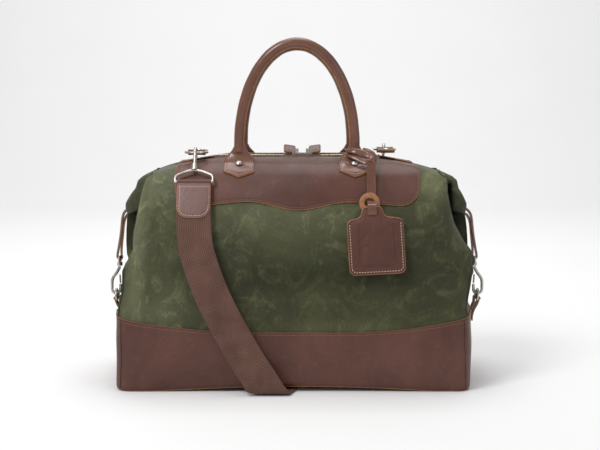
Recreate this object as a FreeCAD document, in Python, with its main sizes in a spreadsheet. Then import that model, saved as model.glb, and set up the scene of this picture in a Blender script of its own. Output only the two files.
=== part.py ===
"""Weekender bag: a leather boot and yoke over a waxed canvas body, closed by a two-way zip.

Frame: millimetres, origin on the ground under the middle of the bag, +X along the bag's
length, -Y towards its front, +Z up. The bag's skin is built in layers. Every layer lies
between two copies of one lofted envelope, each copy offset inwards by its own depth.
"""
import FreeCAD, Part
import Sketcher
import math
import os

Vector = FreeCAD.Vector
X_AXIS = Vector(1, 0, 0)
Y_AXIS = Vector(0, 1, 0)
Z_AXIS = Vector(0, 0, 1)
ORIGIN = Vector(0, 0, 0)

doc = FreeCAD.newDocument("WeekenderBag")

# ---------------------------------------------------------------- driving dimensions
DIMENSIONS = {
    # bag envelope
    "bag_length": 516.0,
    "bag_depth": 256.0,
    "bag_height": 343.0,
    "arch_height": 7.0,
    "arch_span": 400.0,
    # depths of the layers below the envelope
    "leather_thick": 2.2,
    "canvas_thick": 1.6,
    "tape_thick": 0.8,
    "lining_thick": 1.0,
    "board_thick": 3.0,
    "boot_height": 88.0,
    "boot_corner_rise": 22.0,
    "yoke_shift": 1.5,
    "yoke_half_length": 180.0,
    "yoke_edge": 271.0,
    "yoke_wave": 6.0,
    "yoke_corner_radius": 29.0,
    # zip
    "zip_half_length": 126.0,
    "zip_slot_half": 7.5,
    "tooth_pitch": 4.0,
    "tooth_long": 2.6,
    "tooth_wide": 3.4,
    "tooth_tall": 3.5,
    "tooth_gap": 0.6,
    "slider_length": 15.0,
    "slider_width": 13.6,
    "slider_height": 9.7,
    "slider_channel": 5.7,
    "slider_blade": 0.6,
    "slider_meeting_x": 8.0,
    "crown_height": 6.0,
    "crown_post": 1.6,
    "knuckle_outer": 2.6,
    "knuckle_bore": 1.5,
    "knuckle_length": 5.0,
    "puller_length": 15.0,
    "puller_thick": 1.8,
    "tab_length": 26.0,
    "tab_width": 16.0,
    "tab_thick": 3.2,
    # handles
    "handle_spacing": 104.0,
    "handle_leg_x": 85.5,
    "handle_rise": 149.0,
    "handle_radius": 8.0,
    "handle_core_radius": 5.2,
    "handle_hinge_z": 359.0,
    "joint_gap": 0.3,
    "anchor_thick": 3.2,
    "anchor_half_width": 23.0,
    "rivet_head_radius": 5.0,
    "rivet_head_height": 2.0,
    "rivet_shank_radius": 2.2,
    # shoulder strap and its rings
    "ring_wire": 1.8,
    "ring_half_width": 16.0,
    "ring_arm": 6.0,
    "ring_z": 346.5,
    "ring_bar_y": 42.0,
    "ring_left_x": -150.0,
    "ring_right_x": 137.0,
    "ring_tab_width": 25.0,
    "hook_turn": 6.2,
    "hook_wire": 2.4,
    "hook_leg": 7.5,
    "gate_wire": 1.4,
    "gate_drop": 9.2,
    "frame_wire": 2.0,
    "frame_half_width": 27.4,
    "webbing_width": 50.0,
    "webbing_thick": 2.2,
    "end_tab_length": 56.0,
    "glide_width": 59.0,
    "glide_height": 24.0,
    "glide_depth": 10.0,
    "glide_passage_width": 52.0,
    "glide_passage_depth": 5.4,
    # end fastenings
    "side_x": 280.0,
    "side_ring_z": 132.0,
    # luggage tag
    "tag_width": 82.0,
    "tag_length": 82.0,
    "tag_thick": 3.6,
    "tag_neck_width": 34.0,
    "tag_neck_length": 20.0,
    "tag_slot_width": 17.0,
    "tag_slot_length": 8.0,
    "tag_corner": 9.0,
    "disc_radius": 15.0,
    "disc_thick": 2.0,
    "tag_strap_width": 13.0,
    "tag_strap_thick": 2.4,
}

sheet = doc.addObject("Spreadsheet::Sheet", "Sizes")
for row, (alias, value) in enumerate(DIMENSIONS.items(), start=1):
    sheet.set("A%d" % row, alias)
    sheet.set("B%d" % row, "%g" % value)
    sheet.setAlias("B%d" % row, alias)
doc.recompute()


def size(alias):
    """The value of one driving dimension, read from the sheet."""
    return float(sheet.get(alias))


# ---------------------------------------------------------------- document helpers
def add_shape(label, shape):
    """A sub-part whose solid is made by Part's own functions."""
    feature = doc.addObject("Part::Feature", label)
    feature.Label = label
    feature.Shape = shape
    feature.Placement = shape.Placement
    return feature


def add_body(label):
    body = doc.addObject("PartDesign::Body", label)
    body.Label = label
    return body


def add_sketch(body, name, role="XY_Plane", lift=None):
    """A sketch on one of the body's own origin planes, lifted off it by an expression."""
    sketch = body.newObject("Sketcher::SketchObject", body.Label + "_" + name)
    plane = next(f for f in body.Origin.OriginFeatures if f.Role == role)
    sketch.AttachmentSupport = (plane, [""])
    sketch.MapMode = "FlatFace"
    if lift:
        sketch.setExpression("AttachmentOffset.Base.z", lift)
    return sketch


def bind(sketch, constraint, expression):
    index = sketch.addConstraint(constraint)
    sketch.setExpression("Constraints[%d]" % index, expression)


def add_rectangle(sketch, width, height, shift_x=None, shift_y=None):
    """A rectangle whose sizes and centre are sheet expressions."""
    first = sketch.GeometryCount
    corners = [Vector(-5, -4, 0), Vector(5, -4, 0), Vector(5, 4, 0), Vector(-5, 4, 0)]
    for i in range(4):
        sketch.addGeometry(Part.LineSegment(corners[i], corners[(i + 1) % 4]), False)
    for i in range(4):
        sketch.addConstraint(
            Sketcher.Constraint("Coincident", first + i, 2, first + (i + 1) % 4, 1)
        )
    for i, kind in enumerate(("Horizontal", "Vertical", "Horizontal", "Vertical")):
        sketch.addConstraint(Sketcher.Constraint(kind, first + i))
    bind(sketch, Sketcher.Constraint("DistanceX", first, 1, first, 2, 10.0), width)
    bind(sketch, Sketcher.Constraint("DistanceY", first + 1, 1, first + 1, 2, 8.0), height)
    left = "-(%s) / 2" % width + (" + " + shift_x if shift_x else "")
    low = "-(%s) / 2" % height + (" + " + shift_y if shift_y else "")
    bind(sketch, Sketcher.Constraint("DistanceX", -1, 1, first, 1, -5.0), left)
    bind(sketch, Sketcher.Constraint("DistanceY", -1, 1, first, 1, -4.0), low)


def add_circle(sketch, radius):
    first = sketch.GeometryCount
    sketch.addGeometry(Part.Circle(ORIGIN, Z_AXIS, 3.0), False)
    sketch.addConstraint(Sketcher.Constraint("Coincident", first, 3, -1, 1))
    bind(sketch, Sketcher.Constraint("Radius", first, 3.0), radius)


def add_pad(body, sketch, length, midplane=True):
    pad = body.newObject("PartDesign::Pad", sketch.Name + "_pad")
    pad.Profile = sketch
    pad.setExpression("Length", length)
    pad.Midplane = midplane
    return pad


def add_pocket(body, sketch):
    """A pocket through the whole solid, both ways from its sketch."""
    doc.recompute()
    volume_before = body.Shape.Volume
    pocket = body.newObject("PartDesign::Pocket", sketch.Name + "_cut")
    pocket.Profile = sketch
    pocket.Type = "ThroughAll"
    pocket.Midplane = True
    doc.recompute()
    assert body.Shape.Volume < volume_before - 0.01, sketch.Name
    return pocket


def add_edge_fillet(body, base, axis, radius):
    """Rounds the straight edges of the solid that run along one axis."""
    doc.recompute()
    names = []
    for number, edge in enumerate(base.Shape.Edges, start=1):
        if isinstance(edge.Curve, Part.Line) and abs(edge.Curve.Direction.dot(axis)) > 0.999:
            names.append("Edge%d" % number)
    fillet = body.newObject("PartDesign::Fillet", body.Label + "_rounding")
    fillet.Base = (base, names)
    fillet.setExpression("Radius", radius)
    return fillet


# ---------------------------------------------------------------- geometry helpers
def block(x, y, z):
    """A box from three (low, high) pairs."""
    return Part.makeBox(x[1] - x[0], y[1] - y[0], z[1] - z[0], Vector(x[0], y[0], z[0]))


def rod(start, end, radius):
    axis = end - start
    return Part.makeCylinder(radius, axis.Length, start, axis)


def rounded_path(points):
    """Straight runs through the points, joined by tangent arcs as large as the runs allow."""
    edges = []
    start = points[0]
    for before, corner, after in zip(points, points[1:], points[2:]):
        back = before - corner
        ahead = after - corner
        tangent = 0.45 * min(back.Length, ahead.Length)
        arc_start = corner + back.normalize() * tangent
        arc_end = corner + ahead.normalize() * tangent
        half_angle = back.getAngle(ahead) / 2
        bisector = (back + ahead).normalize()
        to_arc = tangent / math.cos(half_angle) - tangent * math.tan(half_angle)
        edges.append(Part.LineSegment(start, arc_start).toShape())
        edges.append(Part.Arc(arc_start, corner + bisector * to_arc, arc_end).toShape())
        start = arc_end
    edges.append(Part.LineSegment(start, points[-1]).toShape())
    return edges


def wire_form(points, radius):
    """Round wire bent along a path of straight runs and tangent arcs."""
    path = Part.Wire(rounded_path(points))
    profile = Part.Wire(Part.makeCircle(radius, points[0], points[1] - points[0]))
    return path.makePipeShell([profile], True, True)


def prism(edges, direction):
    return Part.Face(Part.Wire(edges)).extrude(direction)


def lines_through(points):
    return [
        Part.LineSegment(a, b).toShape() for a, b in zip(points, points[1:]) if a != b
    ]


def mirrored_x(shape):
    return shape.mirror(ORIGIN, X_AXIS)


def mirrored_y(shape):
    return shape.mirror(ORIGIN, Y_AXIS)


# ---------------------------------------------------------------- bag envelope
# Height, how far the ends and the front stand in from the bag's full size, corner
# radius and how far each end bulges at mid depth.
ENVELOPE = [
    (0, 7, 6, 20, 6),
    (6, 3, 2, 24, 8),
    (60, 1, 0, 26, 10),
    (110, 0, 2, 28, 10),
    (158, 2, 5, 30, 8),
    (193, 13, 9, 30, 7),
    (240, 26, 16, 28, 5),
    (270, 32, 23, 26, 3),
    (301, 36, 36, 24, 2),
    (314, 45, 44, 22, 1),
    (324, 58, 56, 20, 1),
    (333, 86, 70, 18, 1),
    (339, 108, 94, 14, 1),
    (343, 130, 116, 6, 1),
]


def envelope_rows():
    """Each section as height, half length, half depth, corner radius, bulge."""
    half_length = size("bag_length") / 2
    half_depth = size("bag_depth") / 2
    rows = []
    for height, end_inset, front_inset, radius, bulge in ENVELOPE:
        rows.append((height, half_length - end_inset, half_depth - front_inset, radius, bulge))
    return rows


def section_wire(height, half_length, half_depth, radius, bulge):
    """A rounded rectangle, its two short sides bowed out by the bulge."""
    x_in = half_length - radius
    y_in = half_depth - radius
    diagonal = radius * math.sqrt(0.5)
    edges = []
    for turn in range(2):
        way = 1 - 2 * turn

        def at(x, y):
            return Vector(way * x, way * y, height)

        edges.append(Part.Arc(
            at(half_length, -y_in), at(half_length + bulge, 0), at(half_length, y_in)
        ).toShape())
        edges.append(Part.Arc(
            at(half_length, y_in), at(x_in + diagonal, y_in + diagonal), at(x_in, half_depth)
        ).toShape())
        edges.append(Part.LineSegment(at(x_in, half_depth), at(-x_in, half_depth)).toShape())
        edges.append(Part.Arc(
            at(-x_in, half_depth), at(-x_in - diagonal, y_in + diagonal), at(-half_length, y_in)
        ).toShape())
    return Part.Wire(edges)


def envelope(offset):
    """The bag's closed outer form, moved inwards by the offset, with its arched underside."""
    rows = envelope_rows()
    wires = []
    for i, (height, half_length, half_depth, radius, bulge) in enumerate(rows):
        low = rows[max(i - 1, 0)]
        high = rows[min(i + 1, len(rows) - 1)]
        run = Vector(high[2] - low[2], high[0] - low[0], 0)
        inwards = run.y / run.Length
        down = abs(run.x) / run.Length
        if i == 0:
            inwards = 1.0
            down = -1.0
        if i == len(rows) - 1:
            down = 1.0
        shrunk_radius = max(radius - offset, 1.5)
        wires.append(section_wire(
            height - down * offset, half_length - inwards * offset,
            half_depth - inwards * offset, shrunk_radius, bulge,
        ))
    solid = Part.makeLoft(wires, True, True)
    rise = size("arch_height")
    arch_radius = ((size("arch_span") / 2) ** 2 + rise ** 2) / (2 * rise)
    low_point = Vector(0, -200, rise - arch_radius)
    arch = Part.makeCylinder(arch_radius + offset, 400, low_point, Y_AXIS)
    near_ground = block((-300, 300), (-200, 200), (-10, 40))
    return solid.cut(arch.common(near_ground))


leather_depth = size("leather_thick")
canvas_depth = leather_depth + size("canvas_thick")
tape_depth = canvas_depth + size("tape_thick")
lining_start = tape_depth + 0.2
lining_depth = lining_start + size("lining_thick")
board_start = lining_depth + 0.2
board_depth = board_start + size("board_thick")

outside = envelope(0)
under_leather = envelope(leather_depth)
under_canvas = envelope(canvas_depth)
under_tape = envelope(tape_depth)
above_lining = envelope(lining_start)
inside = envelope(lining_depth)

leather_skin = outside.cut(under_leather)
canvas_skin = under_leather.cut(under_canvas)

FAR = 400.0
SEAM_TOP = 400.0


def end_region(side):
    """The space beyond the seam between the long panels and the gusset of one end."""
    seam = [(246, -20), (246, 160), (229, 207), (214, 300), (205, 343), (200, SEAM_TOP)]
    outline = [Vector(side * x, -FAR / 2, z) for x, z in seam]
    outline += [Vector(side * FAR, -FAR / 2, SEAM_TOP), Vector(side * FAR, -FAR / 2, -20)]
    outline.append(outline[0])
    return prism(lines_through(outline), Vector(0, FAR, 0))


left_end = end_region(-1)
right_end = end_region(1)
front_side = block((-FAR, FAR), (-FAR, 0), (-20, SEAM_TOP))
back_side = block((-FAR, FAR), (0, FAR), (-20, SEAM_TOP))


# ---------------------------------------------------------------- leather boot and base
def boot_region():
    """Below the boot's upper edge: level in the middle, sweeping up to the corners."""
    level = 60.0
    reach = 300.0
    low = size("boot_height")
    corner = size("bag_length") / 2
    rise = size("boot_corner_rise")
    radius = ((corner - level) ** 2 + rise ** 2) / (2 * rise)

    def edge_point(side, x):
        height = low + radius - math.sqrt(radius ** 2 - (x - level) ** 2)
        return Vector(side * x, -FAR / 2, height)

    middle = (level + reach) / 2
    left = [edge_point(-1, x) for x in (reach, middle, level)]
    right = [edge_point(1, x) for x in (level, middle, reach)]
    edges = [
        Part.Arc(*left).toShape(),
        Part.LineSegment(left[-1], right[0]).toShape(),
        Part.Arc(*right).toShape(),
    ]
    under = [right[-1], Vector(reach, -FAR / 2, -20), Vector(-reach, -FAR / 2, -20), left[0]]
    return prism(edges + lines_through(under), Vector(0, FAR, 0))


boot = leather_skin.common(boot_region())
base_inset = 8.0
base_x = size("bag_length") / 2 - base_inset
base_y = size("bag_depth") / 2 - base_inset
base_column = block((-base_x, base_x), (-base_y, base_y), (-5, 12))
boot_walls = boot.cut(base_column)
boot_ends = boot_walls.common(left_end.fuse(right_end))
boot_long = boot_walls.cut(left_end).cut(right_end)
add_shape("boot_front", boot_long.common(front_side))
add_shape("boot_back", boot_long.common(back_side))
add_shape("boot_ends", boot_ends)
add_shape("base_panel", boot.common(base_column))

board_inset = 18.0
board_column = block(
    (board_inset - base_x, base_x - board_inset),
    (board_inset - base_y, base_y - board_inset), (-5, 26),
)
board_skin = envelope(board_start).cut(envelope(board_depth))
add_shape("base_board", board_skin.common(board_column))

# ---------------------------------------------------------------- canvas body
slot_half = size("zip_slot_half")
slot_end = 150.0
zip_slot = block((-slot_end, slot_end), (-slot_half, slot_half), (300, SEAM_TOP))
canvas_long = canvas_skin.cut(left_end).cut(right_end).cut(zip_slot)
add_shape("canvas_front", canvas_long.common(front_side))
add_shape("canvas_back", canvas_long.common(back_side))
add_shape("gusset_left", canvas_skin.common(left_end))
add_shape("gusset_right", canvas_skin.common(right_end))


def end_wing(side):
    """The pinched top corner of one end, drawn out and down to the side strap."""
    crest = [(172, 334), (205, 323), (230, 308), (248, 288), (260, 268), (268, 248), (272, 234)]
    crest_points = [Vector(side * x, -7, z) for x, z in crest]
    curve = Part.BSplineCurve()
    curve.interpolate(crest_points)
    under = [crest_points[-1], Vector(side * 264, -7, 230), Vector(side * 236, -7, 222),
             Vector(side * 190, -7, 260), crest_points[0]]
    flap = prism([curve.toShape()] + lines_through(under), Vector(0, 14, 0))
    return flap.cut(outside)


for side, name in ((-1, "wing_left"), (1, "wing_right")):
    add_shape(name, end_wing(side))


# ---------------------------------------------------------------- leather yoke
def yoke_outline(y):
    """The yoke's outline seen from the front: rounded ends and a waved lower edge."""
    shift = size("yoke_shift")
    half = size("yoke_half_length")
    edge = size("yoke_edge")
    wave = size("yoke_wave")
    radius = size("yoke_corner_radius")
    wavelength = 150.0
    trough = wavelength / 2
    lobe_rise = 3.5
    lobe_wave = 2.5
    straight = half - radius

    def lower(x):
        turns = 2 * math.pi / wavelength
        if abs(x) < trough:
            height = edge - wave * math.cos(turns * x)
        else:
            past = abs(x) - trough
            height = edge + lobe_rise + lobe_wave * math.cos(turns * past)
        return Vector(x + shift, y, height)

    curve = Part.BSplineCurve()
    stations = [straight * k / 7 for k in range(-7, 8)]
    curve.interpolate([lower(x) for x in stations])
    edges = [curve.toShape()]
    end_height = lower(straight).z
    for side in (1, -1):
        foot = lower(side * straight)
        middle = Vector(shift + side * (straight + radius * math.sqrt(0.5)), y,
                        end_height + radius * (1 - math.sqrt(0.5)))
        top = Vector(shift + side * half, y, end_height + radius)
        edges.append(Part.Arc(foot, middle, top).toShape())
        edges += lines_through([top, Vector(shift + side * half, y, SEAM_TOP)])
    edges += lines_through([
        Vector(shift - half, y, SEAM_TOP), Vector(shift + half, y, SEAM_TOP),
    ])
    return Part.Wire(Part.__sortEdges__(edges))


yoke_slot_half = slot_half + 1.5
yoke_slot = block((-FAR, FAR), (-yoke_slot_half, yoke_slot_half), (300, SEAM_TOP))
yoke_front = leather_skin.common(Part.Face(yoke_outline(-FAR / 2)).extrude(Vector(0, FAR / 2, 0)))
yoke_front = yoke_front.cut(yoke_slot)
add_shape("yoke_front", yoke_front)
add_shape("yoke_back", mirrored_y(yoke_front))

# ---------------------------------------------------------------- lining and pocket
tape_half = 18.0
tape_end = 190.0
lining_slot = block((-tape_end, tape_end), (-tape_half, tape_half), (300, SEAM_TOP))
add_shape("lining", above_lining.cut(inside).cut(lining_slot))

pocket = add_body("slip_pocket")
pocket_outline = add_sketch(pocket, "outline", "XZ_Plane")
add_rectangle(pocket_outline, "220", "130")
add_pad(pocket, pocket_outline, "4")
pocket_mouth = add_sketch(pocket, "mouth", "XZ_Plane")
add_rectangle(pocket_mouth, "212", "126", shift_y="3")
doc.recompute()
pocket_hollow = pocket.newObject("PartDesign::Pocket", "slip_pocket_hollow")
pocket_hollow.Profile = pocket_mouth
pocket_hollow.Midplane = True
pocket_hollow.Length = 2.0
pocket.Placement = FreeCAD.Placement(Vector(0, 107, 165), FreeCAD.Rotation(X_AXIS, 2.5))

# ---------------------------------------------------------------- zip
zip_z = size("bag_height") - canvas_depth + 1.5
tooth_wide = size("tooth_wide")
tooth_gap = size("tooth_gap")
tape_skin = under_canvas.cut(under_tape)
tape_inner = tooth_gap + tooth_wide
tape_zone = block((-tape_end, tape_end), (-tape_half, -tape_inner), (300, SEAM_TOP))
tape_front = tape_skin.common(tape_zone)
add_shape("zip_tape_front", tape_front)
add_shape("zip_tape_back", mirrored_y(tape_front))


def teeth_row(first_x):
    """One row of zip teeth, half a pitch out of step with the row that faces it."""
    teeth = []
    pitch = size("tooth_pitch")
    long = size("tooth_long")
    top = zip_z
    count = int((2 * size("zip_half_length")) / pitch)
    for k in range(count):
        x = -size("zip_half_length") + first_x + k * pitch
        teeth.append(block(
            (x, x + long), (-tooth_gap - tooth_wide, -tooth_gap),
            (top - size("tooth_tall"), top),
        ))
    return Part.makeCompound(teeth)


add_shape("zip_teeth_front", teeth_row(0.0))
add_shape("zip_teeth_back", mirrored_y(teeth_row(size("tooth_pitch") / 2)))

slider_z = zip_z - size("tooth_tall") / 2
crown_z = slider_z + size("slider_height") / 2 + size("crown_height") - size("knuckle_outer")


def zip_slider(label, side):
    """Two plates joined by a thin blade, with a crown that carries the puller's pin."""
    body = add_body(label)
    outline = add_sketch(body, "outline")
    add_rectangle(outline, "Sizes.slider_length", "Sizes.slider_width")
    pad = add_pad(body, outline, "Sizes.slider_height")
    for way, name in (("", "front_channel"), ("-", "back_channel")):
        channel = add_sketch(body, name, "YZ_Plane")
        add_rectangle(
            channel, "(Sizes.slider_width - Sizes.slider_blade) / 2", "Sizes.slider_channel",
            shift_x=way + "(Sizes.slider_width + Sizes.slider_blade) / 4",
        )
        add_pocket(body, channel)
    posts = add_sketch(body, "posts", lift="Sizes.slider_height / 2")
    post_shift = "(Sizes.knuckle_length / 2 + Sizes.crown_post / 2 + 0.3)"
    for way in ("", "-"):
        add_rectangle(posts, "4", "Sizes.crown_post", shift_y=way + post_shift)
    add_pad(body, posts, "Sizes.crown_height", midplane=False)
    pin = add_sketch(body, "pin", "XZ_Plane")
    pin.setExpression(
        "AttachmentOffset.Base.y",
        "Sizes.slider_height / 2 + Sizes.crown_height - Sizes.knuckle_outer",
    )
    add_circle(pin, "Sizes.knuckle_bore - 0.1")
    add_pad(body, pin, "Sizes.knuckle_length + 2 * Sizes.crown_post")
    centre_x = size("slider_meeting_x") + side * (size("slider_length") / 2 + 0.3)
    body.Placement = FreeCAD.Placement(Vector(centre_x, 0, slider_z), FreeCAD.Rotation())
    return centre_x


def puller(label, pivot_x, turn):
    """A flat metal link with a knuckle at one end and a slot for the leather at the other."""
    body = add_body(label)
    knuckle = add_sketch(body, "knuckle", "XZ_Plane")
    add_circle(knuckle, "Sizes.knuckle_outer")
    add_pad(body, knuckle, "Sizes.knuckle_length")
    link = add_sketch(body, "link")
    add_rectangle(
        link, "Sizes.puller_length", "Sizes.knuckle_length",
        shift_x="Sizes.puller_length / 2",
    )
    add_pad(body, link, "Sizes.puller_thick")
    bore = add_sketch(body, "bore", "XZ_Plane")
    add_circle(bore, "Sizes.knuckle_bore")
    add_pocket(body, bore)
    slot = add_sketch(body, "slot")
    add_rectangle(slot, "4", "2.4", shift_x="Sizes.puller_length - 4")
    add_pocket(body, slot)
    body.Placement = FreeCAD.Placement(Vector(pivot_x, 0, crown_z), turn)


def pull_tab(label, pivot_x, turn):
    """A leather finger tab, folded through the link's slot and hollow where the link sits."""
    body = add_body(label)
    outline = add_sketch(body, "outline")
    reach = "(Sizes.puller_length - 6.5 + Sizes.tab_length / 2)"
    add_rectangle(outline, "Sizes.tab_length", "Sizes.tab_width", shift_x=reach)
    pad = add_pad(body, outline, "Sizes.tab_thick")
    hollow = add_sketch(body, "hollow", "XZ_Plane")
    add_rectangle(
        hollow, "10", "Sizes.puller_thick + 0.4", shift_x="Sizes.puller_length - 4.5"
    )
    pocket_cut = body.newObject("PartDesign::Pocket", label + "_link_room")
    pocket_cut.Profile = hollow
    pocket_cut.Midplane = True
    pocket_cut.setExpression("Length", "Sizes.knuckle_length + 0.6")
    body.Placement = FreeCAD.Placement(Vector(pivot_x, 0, crown_z), turn)


for side, name in ((-1, "left"), (1, "right")):
    pivot_x = zip_slider("slider_" + name, side)
    lift_angle = -12.0
    outwards = FreeCAD.Rotation(Z_AXIS, 0 if side > 0 else 180)
    turn = outwards.multiply(FreeCAD.Rotation(Y_AXIS, lift_angle))
    puller("puller_" + name, pivot_x, turn)
    pull_tab("pull_tab_" + name, pivot_x, turn)

# ---------------------------------------------------------------- carrying handles
handle_y = size("handle_spacing") / 2
leg_x = size("handle_leg_x")
hinge_z = size("handle_hinge_z")


def handle_tube(radius):
    """A half ellipse of round section, rising from hinge height at one leg to the other."""
    centre = Vector(0, -handle_y, hinge_z)
    top = centre + Vector(0, 0, size("handle_rise"))
    ellipse = Part.Ellipse(top, centre + Vector(leg_x, 0, 0), centre)
    arc = Part.ArcOfEllipse(ellipse, -math.pi / 2, math.pi / 2).toShape()
    start = arc.Vertexes[0].Point
    profile = Part.Wire(Part.makeCircle(radius, start, Z_AXIS))
    return Part.Wire(arc).makePipeShell([profile], True, True)


core = handle_tube(size("handle_core_radius"))
cover = handle_tube(size("handle_radius"))
for side in (-1, 1):
    foot = Vector(side * leg_x, -handle_y, hinge_z)
    cover = cover.fuse(Part.makeSphere(size("handle_radius"), foot))
cover = cover.cut(core)
add_shape("handle_front", cover)
add_shape("handle_core_front", core)
add_shape("handle_back", mirrored_y(cover))
add_shape("handle_core_back", mirrored_y(core))

anchor_thick = size("anchor_thick")
anchor_form = envelope(-anchor_thick).cut(outside)
rivet_slope = Vector(0, -0.62, 0.785).normalize()


def anchor_shield():
    """One leather anchor: a shield on the yoke and the rolled foot of the handle leg."""
    half = size("anchor_half_width")
    left = [(leg_x - 11, -44), (leg_x - half, -58), (leg_x - half, -79), (leg_x, -85.5)]
    right = [(leg_x + half, -79), (leg_x + half, -58), (leg_x + 11, -44), (leg_x - 11, -44)]
    corners = [Vector(x, y, 250) for x, y in left + right]
    column = prism(lines_through(corners), Vector(0, 0, 150))
    foot_top = hinge_z - size("handle_radius") - size("joint_gap")
    foot = rod(Vector(leg_x, -handle_y, 320), Vector(leg_x, -handle_y, foot_top),
               size("handle_radius"))
    return anchor_form.common(column).fuse(foot.cut(outside)).removeSplitter()


rivet_seat = Vector(leg_x, -66, 329.5) + rivet_slope * anchor_thick
hole = rod(rivet_seat - rivet_slope * 8, rivet_seat + rivet_slope * 8, size("rivet_shank_radius"))
shield = anchor_shield().cut(hole)
anchors = shield.fuse(mirrored_x(shield))
add_shape("anchors_front", anchors)
add_shape("anchors_back", mirrored_y(anchors))


def rivet(seat, direction, shank_length):
    """A domed cap on a shank, standing on its seat."""
    head_radius = size("rivet_head_radius")
    head_height = size("rivet_head_height")
    dome_radius = (head_radius ** 2 + head_height ** 2) / (2 * head_height)
    ball = Part.makeSphere(dome_radius, Vector(0, 0, head_height - dome_radius))
    cap = ball.common(Part.makeCylinder(head_radius, head_height))
    shank = Part.makeCylinder(size("rivet_shank_radius"), shank_length, ORIGIN, -Z_AXIS)
    one = cap.fuse(shank)
    one.Placement = FreeCAD.Placement(seat, FreeCAD.Rotation(Z_AXIS, direction))
    return one


above_leather = 0.6
first_rivet = rivet(rivet_seat + rivet_slope * above_leather, rivet_slope, 3.0)
front_rivets = [first_rivet, mirrored_x(first_rivet)]
anchor_rivets = front_rivets + [mirrored_y(one) for one in front_rivets]


# ---------------------------------------------------------------- strap rings and tabs
ring_z = size("ring_z")
bar_y = size("ring_bar_y")
ring_half = size("ring_half_width")
ring_wire = size("ring_wire")


def strap_station(name):
    """Places a piece drawn at the front left station: as it is, or turned to the back right."""
    if name == "left":
        return FreeCAD.Placement(Vector(size("ring_left_x"), 0, 0), FreeCAD.Rotation())
    return FreeCAD.Placement(Vector(size("ring_right_x"), 0, 0), FreeCAD.Rotation(Z_AXIS, 180))


def placed(shape, placement):
    copy = shape.copy()
    copy.Placement = placement.multiply(copy.Placement)
    return copy


def d_ring(bar_centre, arm_way, bow_way, half_width, arm):
    """A wire D: a straight bar, two arms and a half-round bow."""
    start = bar_centre - arm_way * half_width
    end = bar_centre + arm_way * half_width
    bow_start = start + bow_way * arm
    bow_end = end + bow_way * arm
    crown = bar_centre + bow_way * (arm + half_width)
    path = Part.Wire([
        Part.LineSegment(start, bow_start).toShape(),
        Part.Arc(bow_start, crown, bow_end).toShape(),
        Part.LineSegment(bow_end, end).toShape(),
    ])
    profile = Part.Wire(Part.makeCircle(ring_wire, start, bow_way))
    loop = path.makePipeShell([profile], True, True)
    bar = rod(start, end, ring_wire)
    corners = Part.makeSphere(ring_wire, start).fuse(Part.makeSphere(ring_wire, end))
    return loop.fuse(bar).fuse(corners)


bar_centre = Vector(0, -bar_y, ring_z)
ring_shape = d_ring(bar_centre, X_AXIS, -Y_AXIS, ring_half, size("ring_arm"))
tab_half = size("ring_tab_width") / 2
fold_radius = ring_wire + 0.4 + 2.2
tab_top = ring_z + 2.2
tab_rivet = Vector(0, -9, tab_top)
for name in ("left", "right"):
    station = strap_station(name)
    add_shape("strap_ring_" + name, placed(ring_shape, station))
    strip = block((-tab_half, tab_half), (-bar_y, 4), (325, tab_top))
    fold = rod(Vector(-tab_half, -bar_y, ring_z), Vector(tab_half, -bar_y, ring_z), fold_radius)
    eye = rod(Vector(-40, -bar_y, ring_z), Vector(40, -bar_y, ring_z), ring_wire + 0.4)
    post_hole = rod(Vector(0, -9, 320), Vector(0, -9, 360), size("rivet_shank_radius"))
    tab = placed(strip.fuse(fold).cut(eye).cut(post_hole), station)
    add_shape("ring_tab_" + name, tab.cut(outside))
ring_rivet = rivet(tab_rivet, Z_AXIS, 5.0)
ring_rivets = [placed(ring_rivet, strap_station(name)) for name in ("left", "right")]
add_shape("rivets", Part.makeCompound(anchor_rivets + ring_rivets))

# ---------------------------------------------------------------- strap hooks
bow_y = -(bar_y + size("ring_arm") + ring_half)
hook_r = size("hook_turn")
hook_wire = size("hook_wire")
swivel = Vector(0, bow_y - 20, ring_z - 21)
stem_top = Vector(0, bow_y - hook_r, ring_z)
stem_way = (stem_top - swivel).normalize()


def hook_shape():
    """The hook's bent wire: a stem up from the swivel and a turn over the ring's bow."""
    turn_start = Vector(0, bow_y - hook_r, ring_z)
    turn_end = Vector(0, bow_y + hook_r, ring_z)
    tip = turn_end - Z_AXIS * size("hook_leg")
    stem_foot = swivel + stem_way * 3.5
    path = Part.Wire([
        Part.LineSegment(stem_foot, turn_start).toShape(),
        Part.Arc(turn_start, Vector(0, bow_y, ring_z + hook_r), turn_end).toShape(),
        Part.LineSegment(turn_end, tip).toShape(),
    ])
    profile = Part.Wire(Part.makeCircle(hook_wire, stem_foot, stem_way))
    bent = path.makePipeShell([profile], True, True, 2)
    collar = rod(swivel + stem_way * 3.3, swivel + stem_way * 6.5, hook_wire + 1.6)
    return bent.fuse(collar)


gate_drop = size("gate_drop")
gate_pivot = stem_top - stem_way * (gate_drop / stem_way.z)
gate_tip = Vector(0, bow_y + hook_r - hook_wire - size("gate_wire") - 0.4, ring_z - gate_drop)


def gate_shape(pivot, tip, wire, gap):
    """A spring gate: a straight rod that starts a gap away from its pivot on the stem."""
    way = (tip - pivot).normalize()
    bar = rod(pivot + way * gap, tip, wire)
    return bar.fuse(Part.makeSphere(wire, tip))


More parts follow.
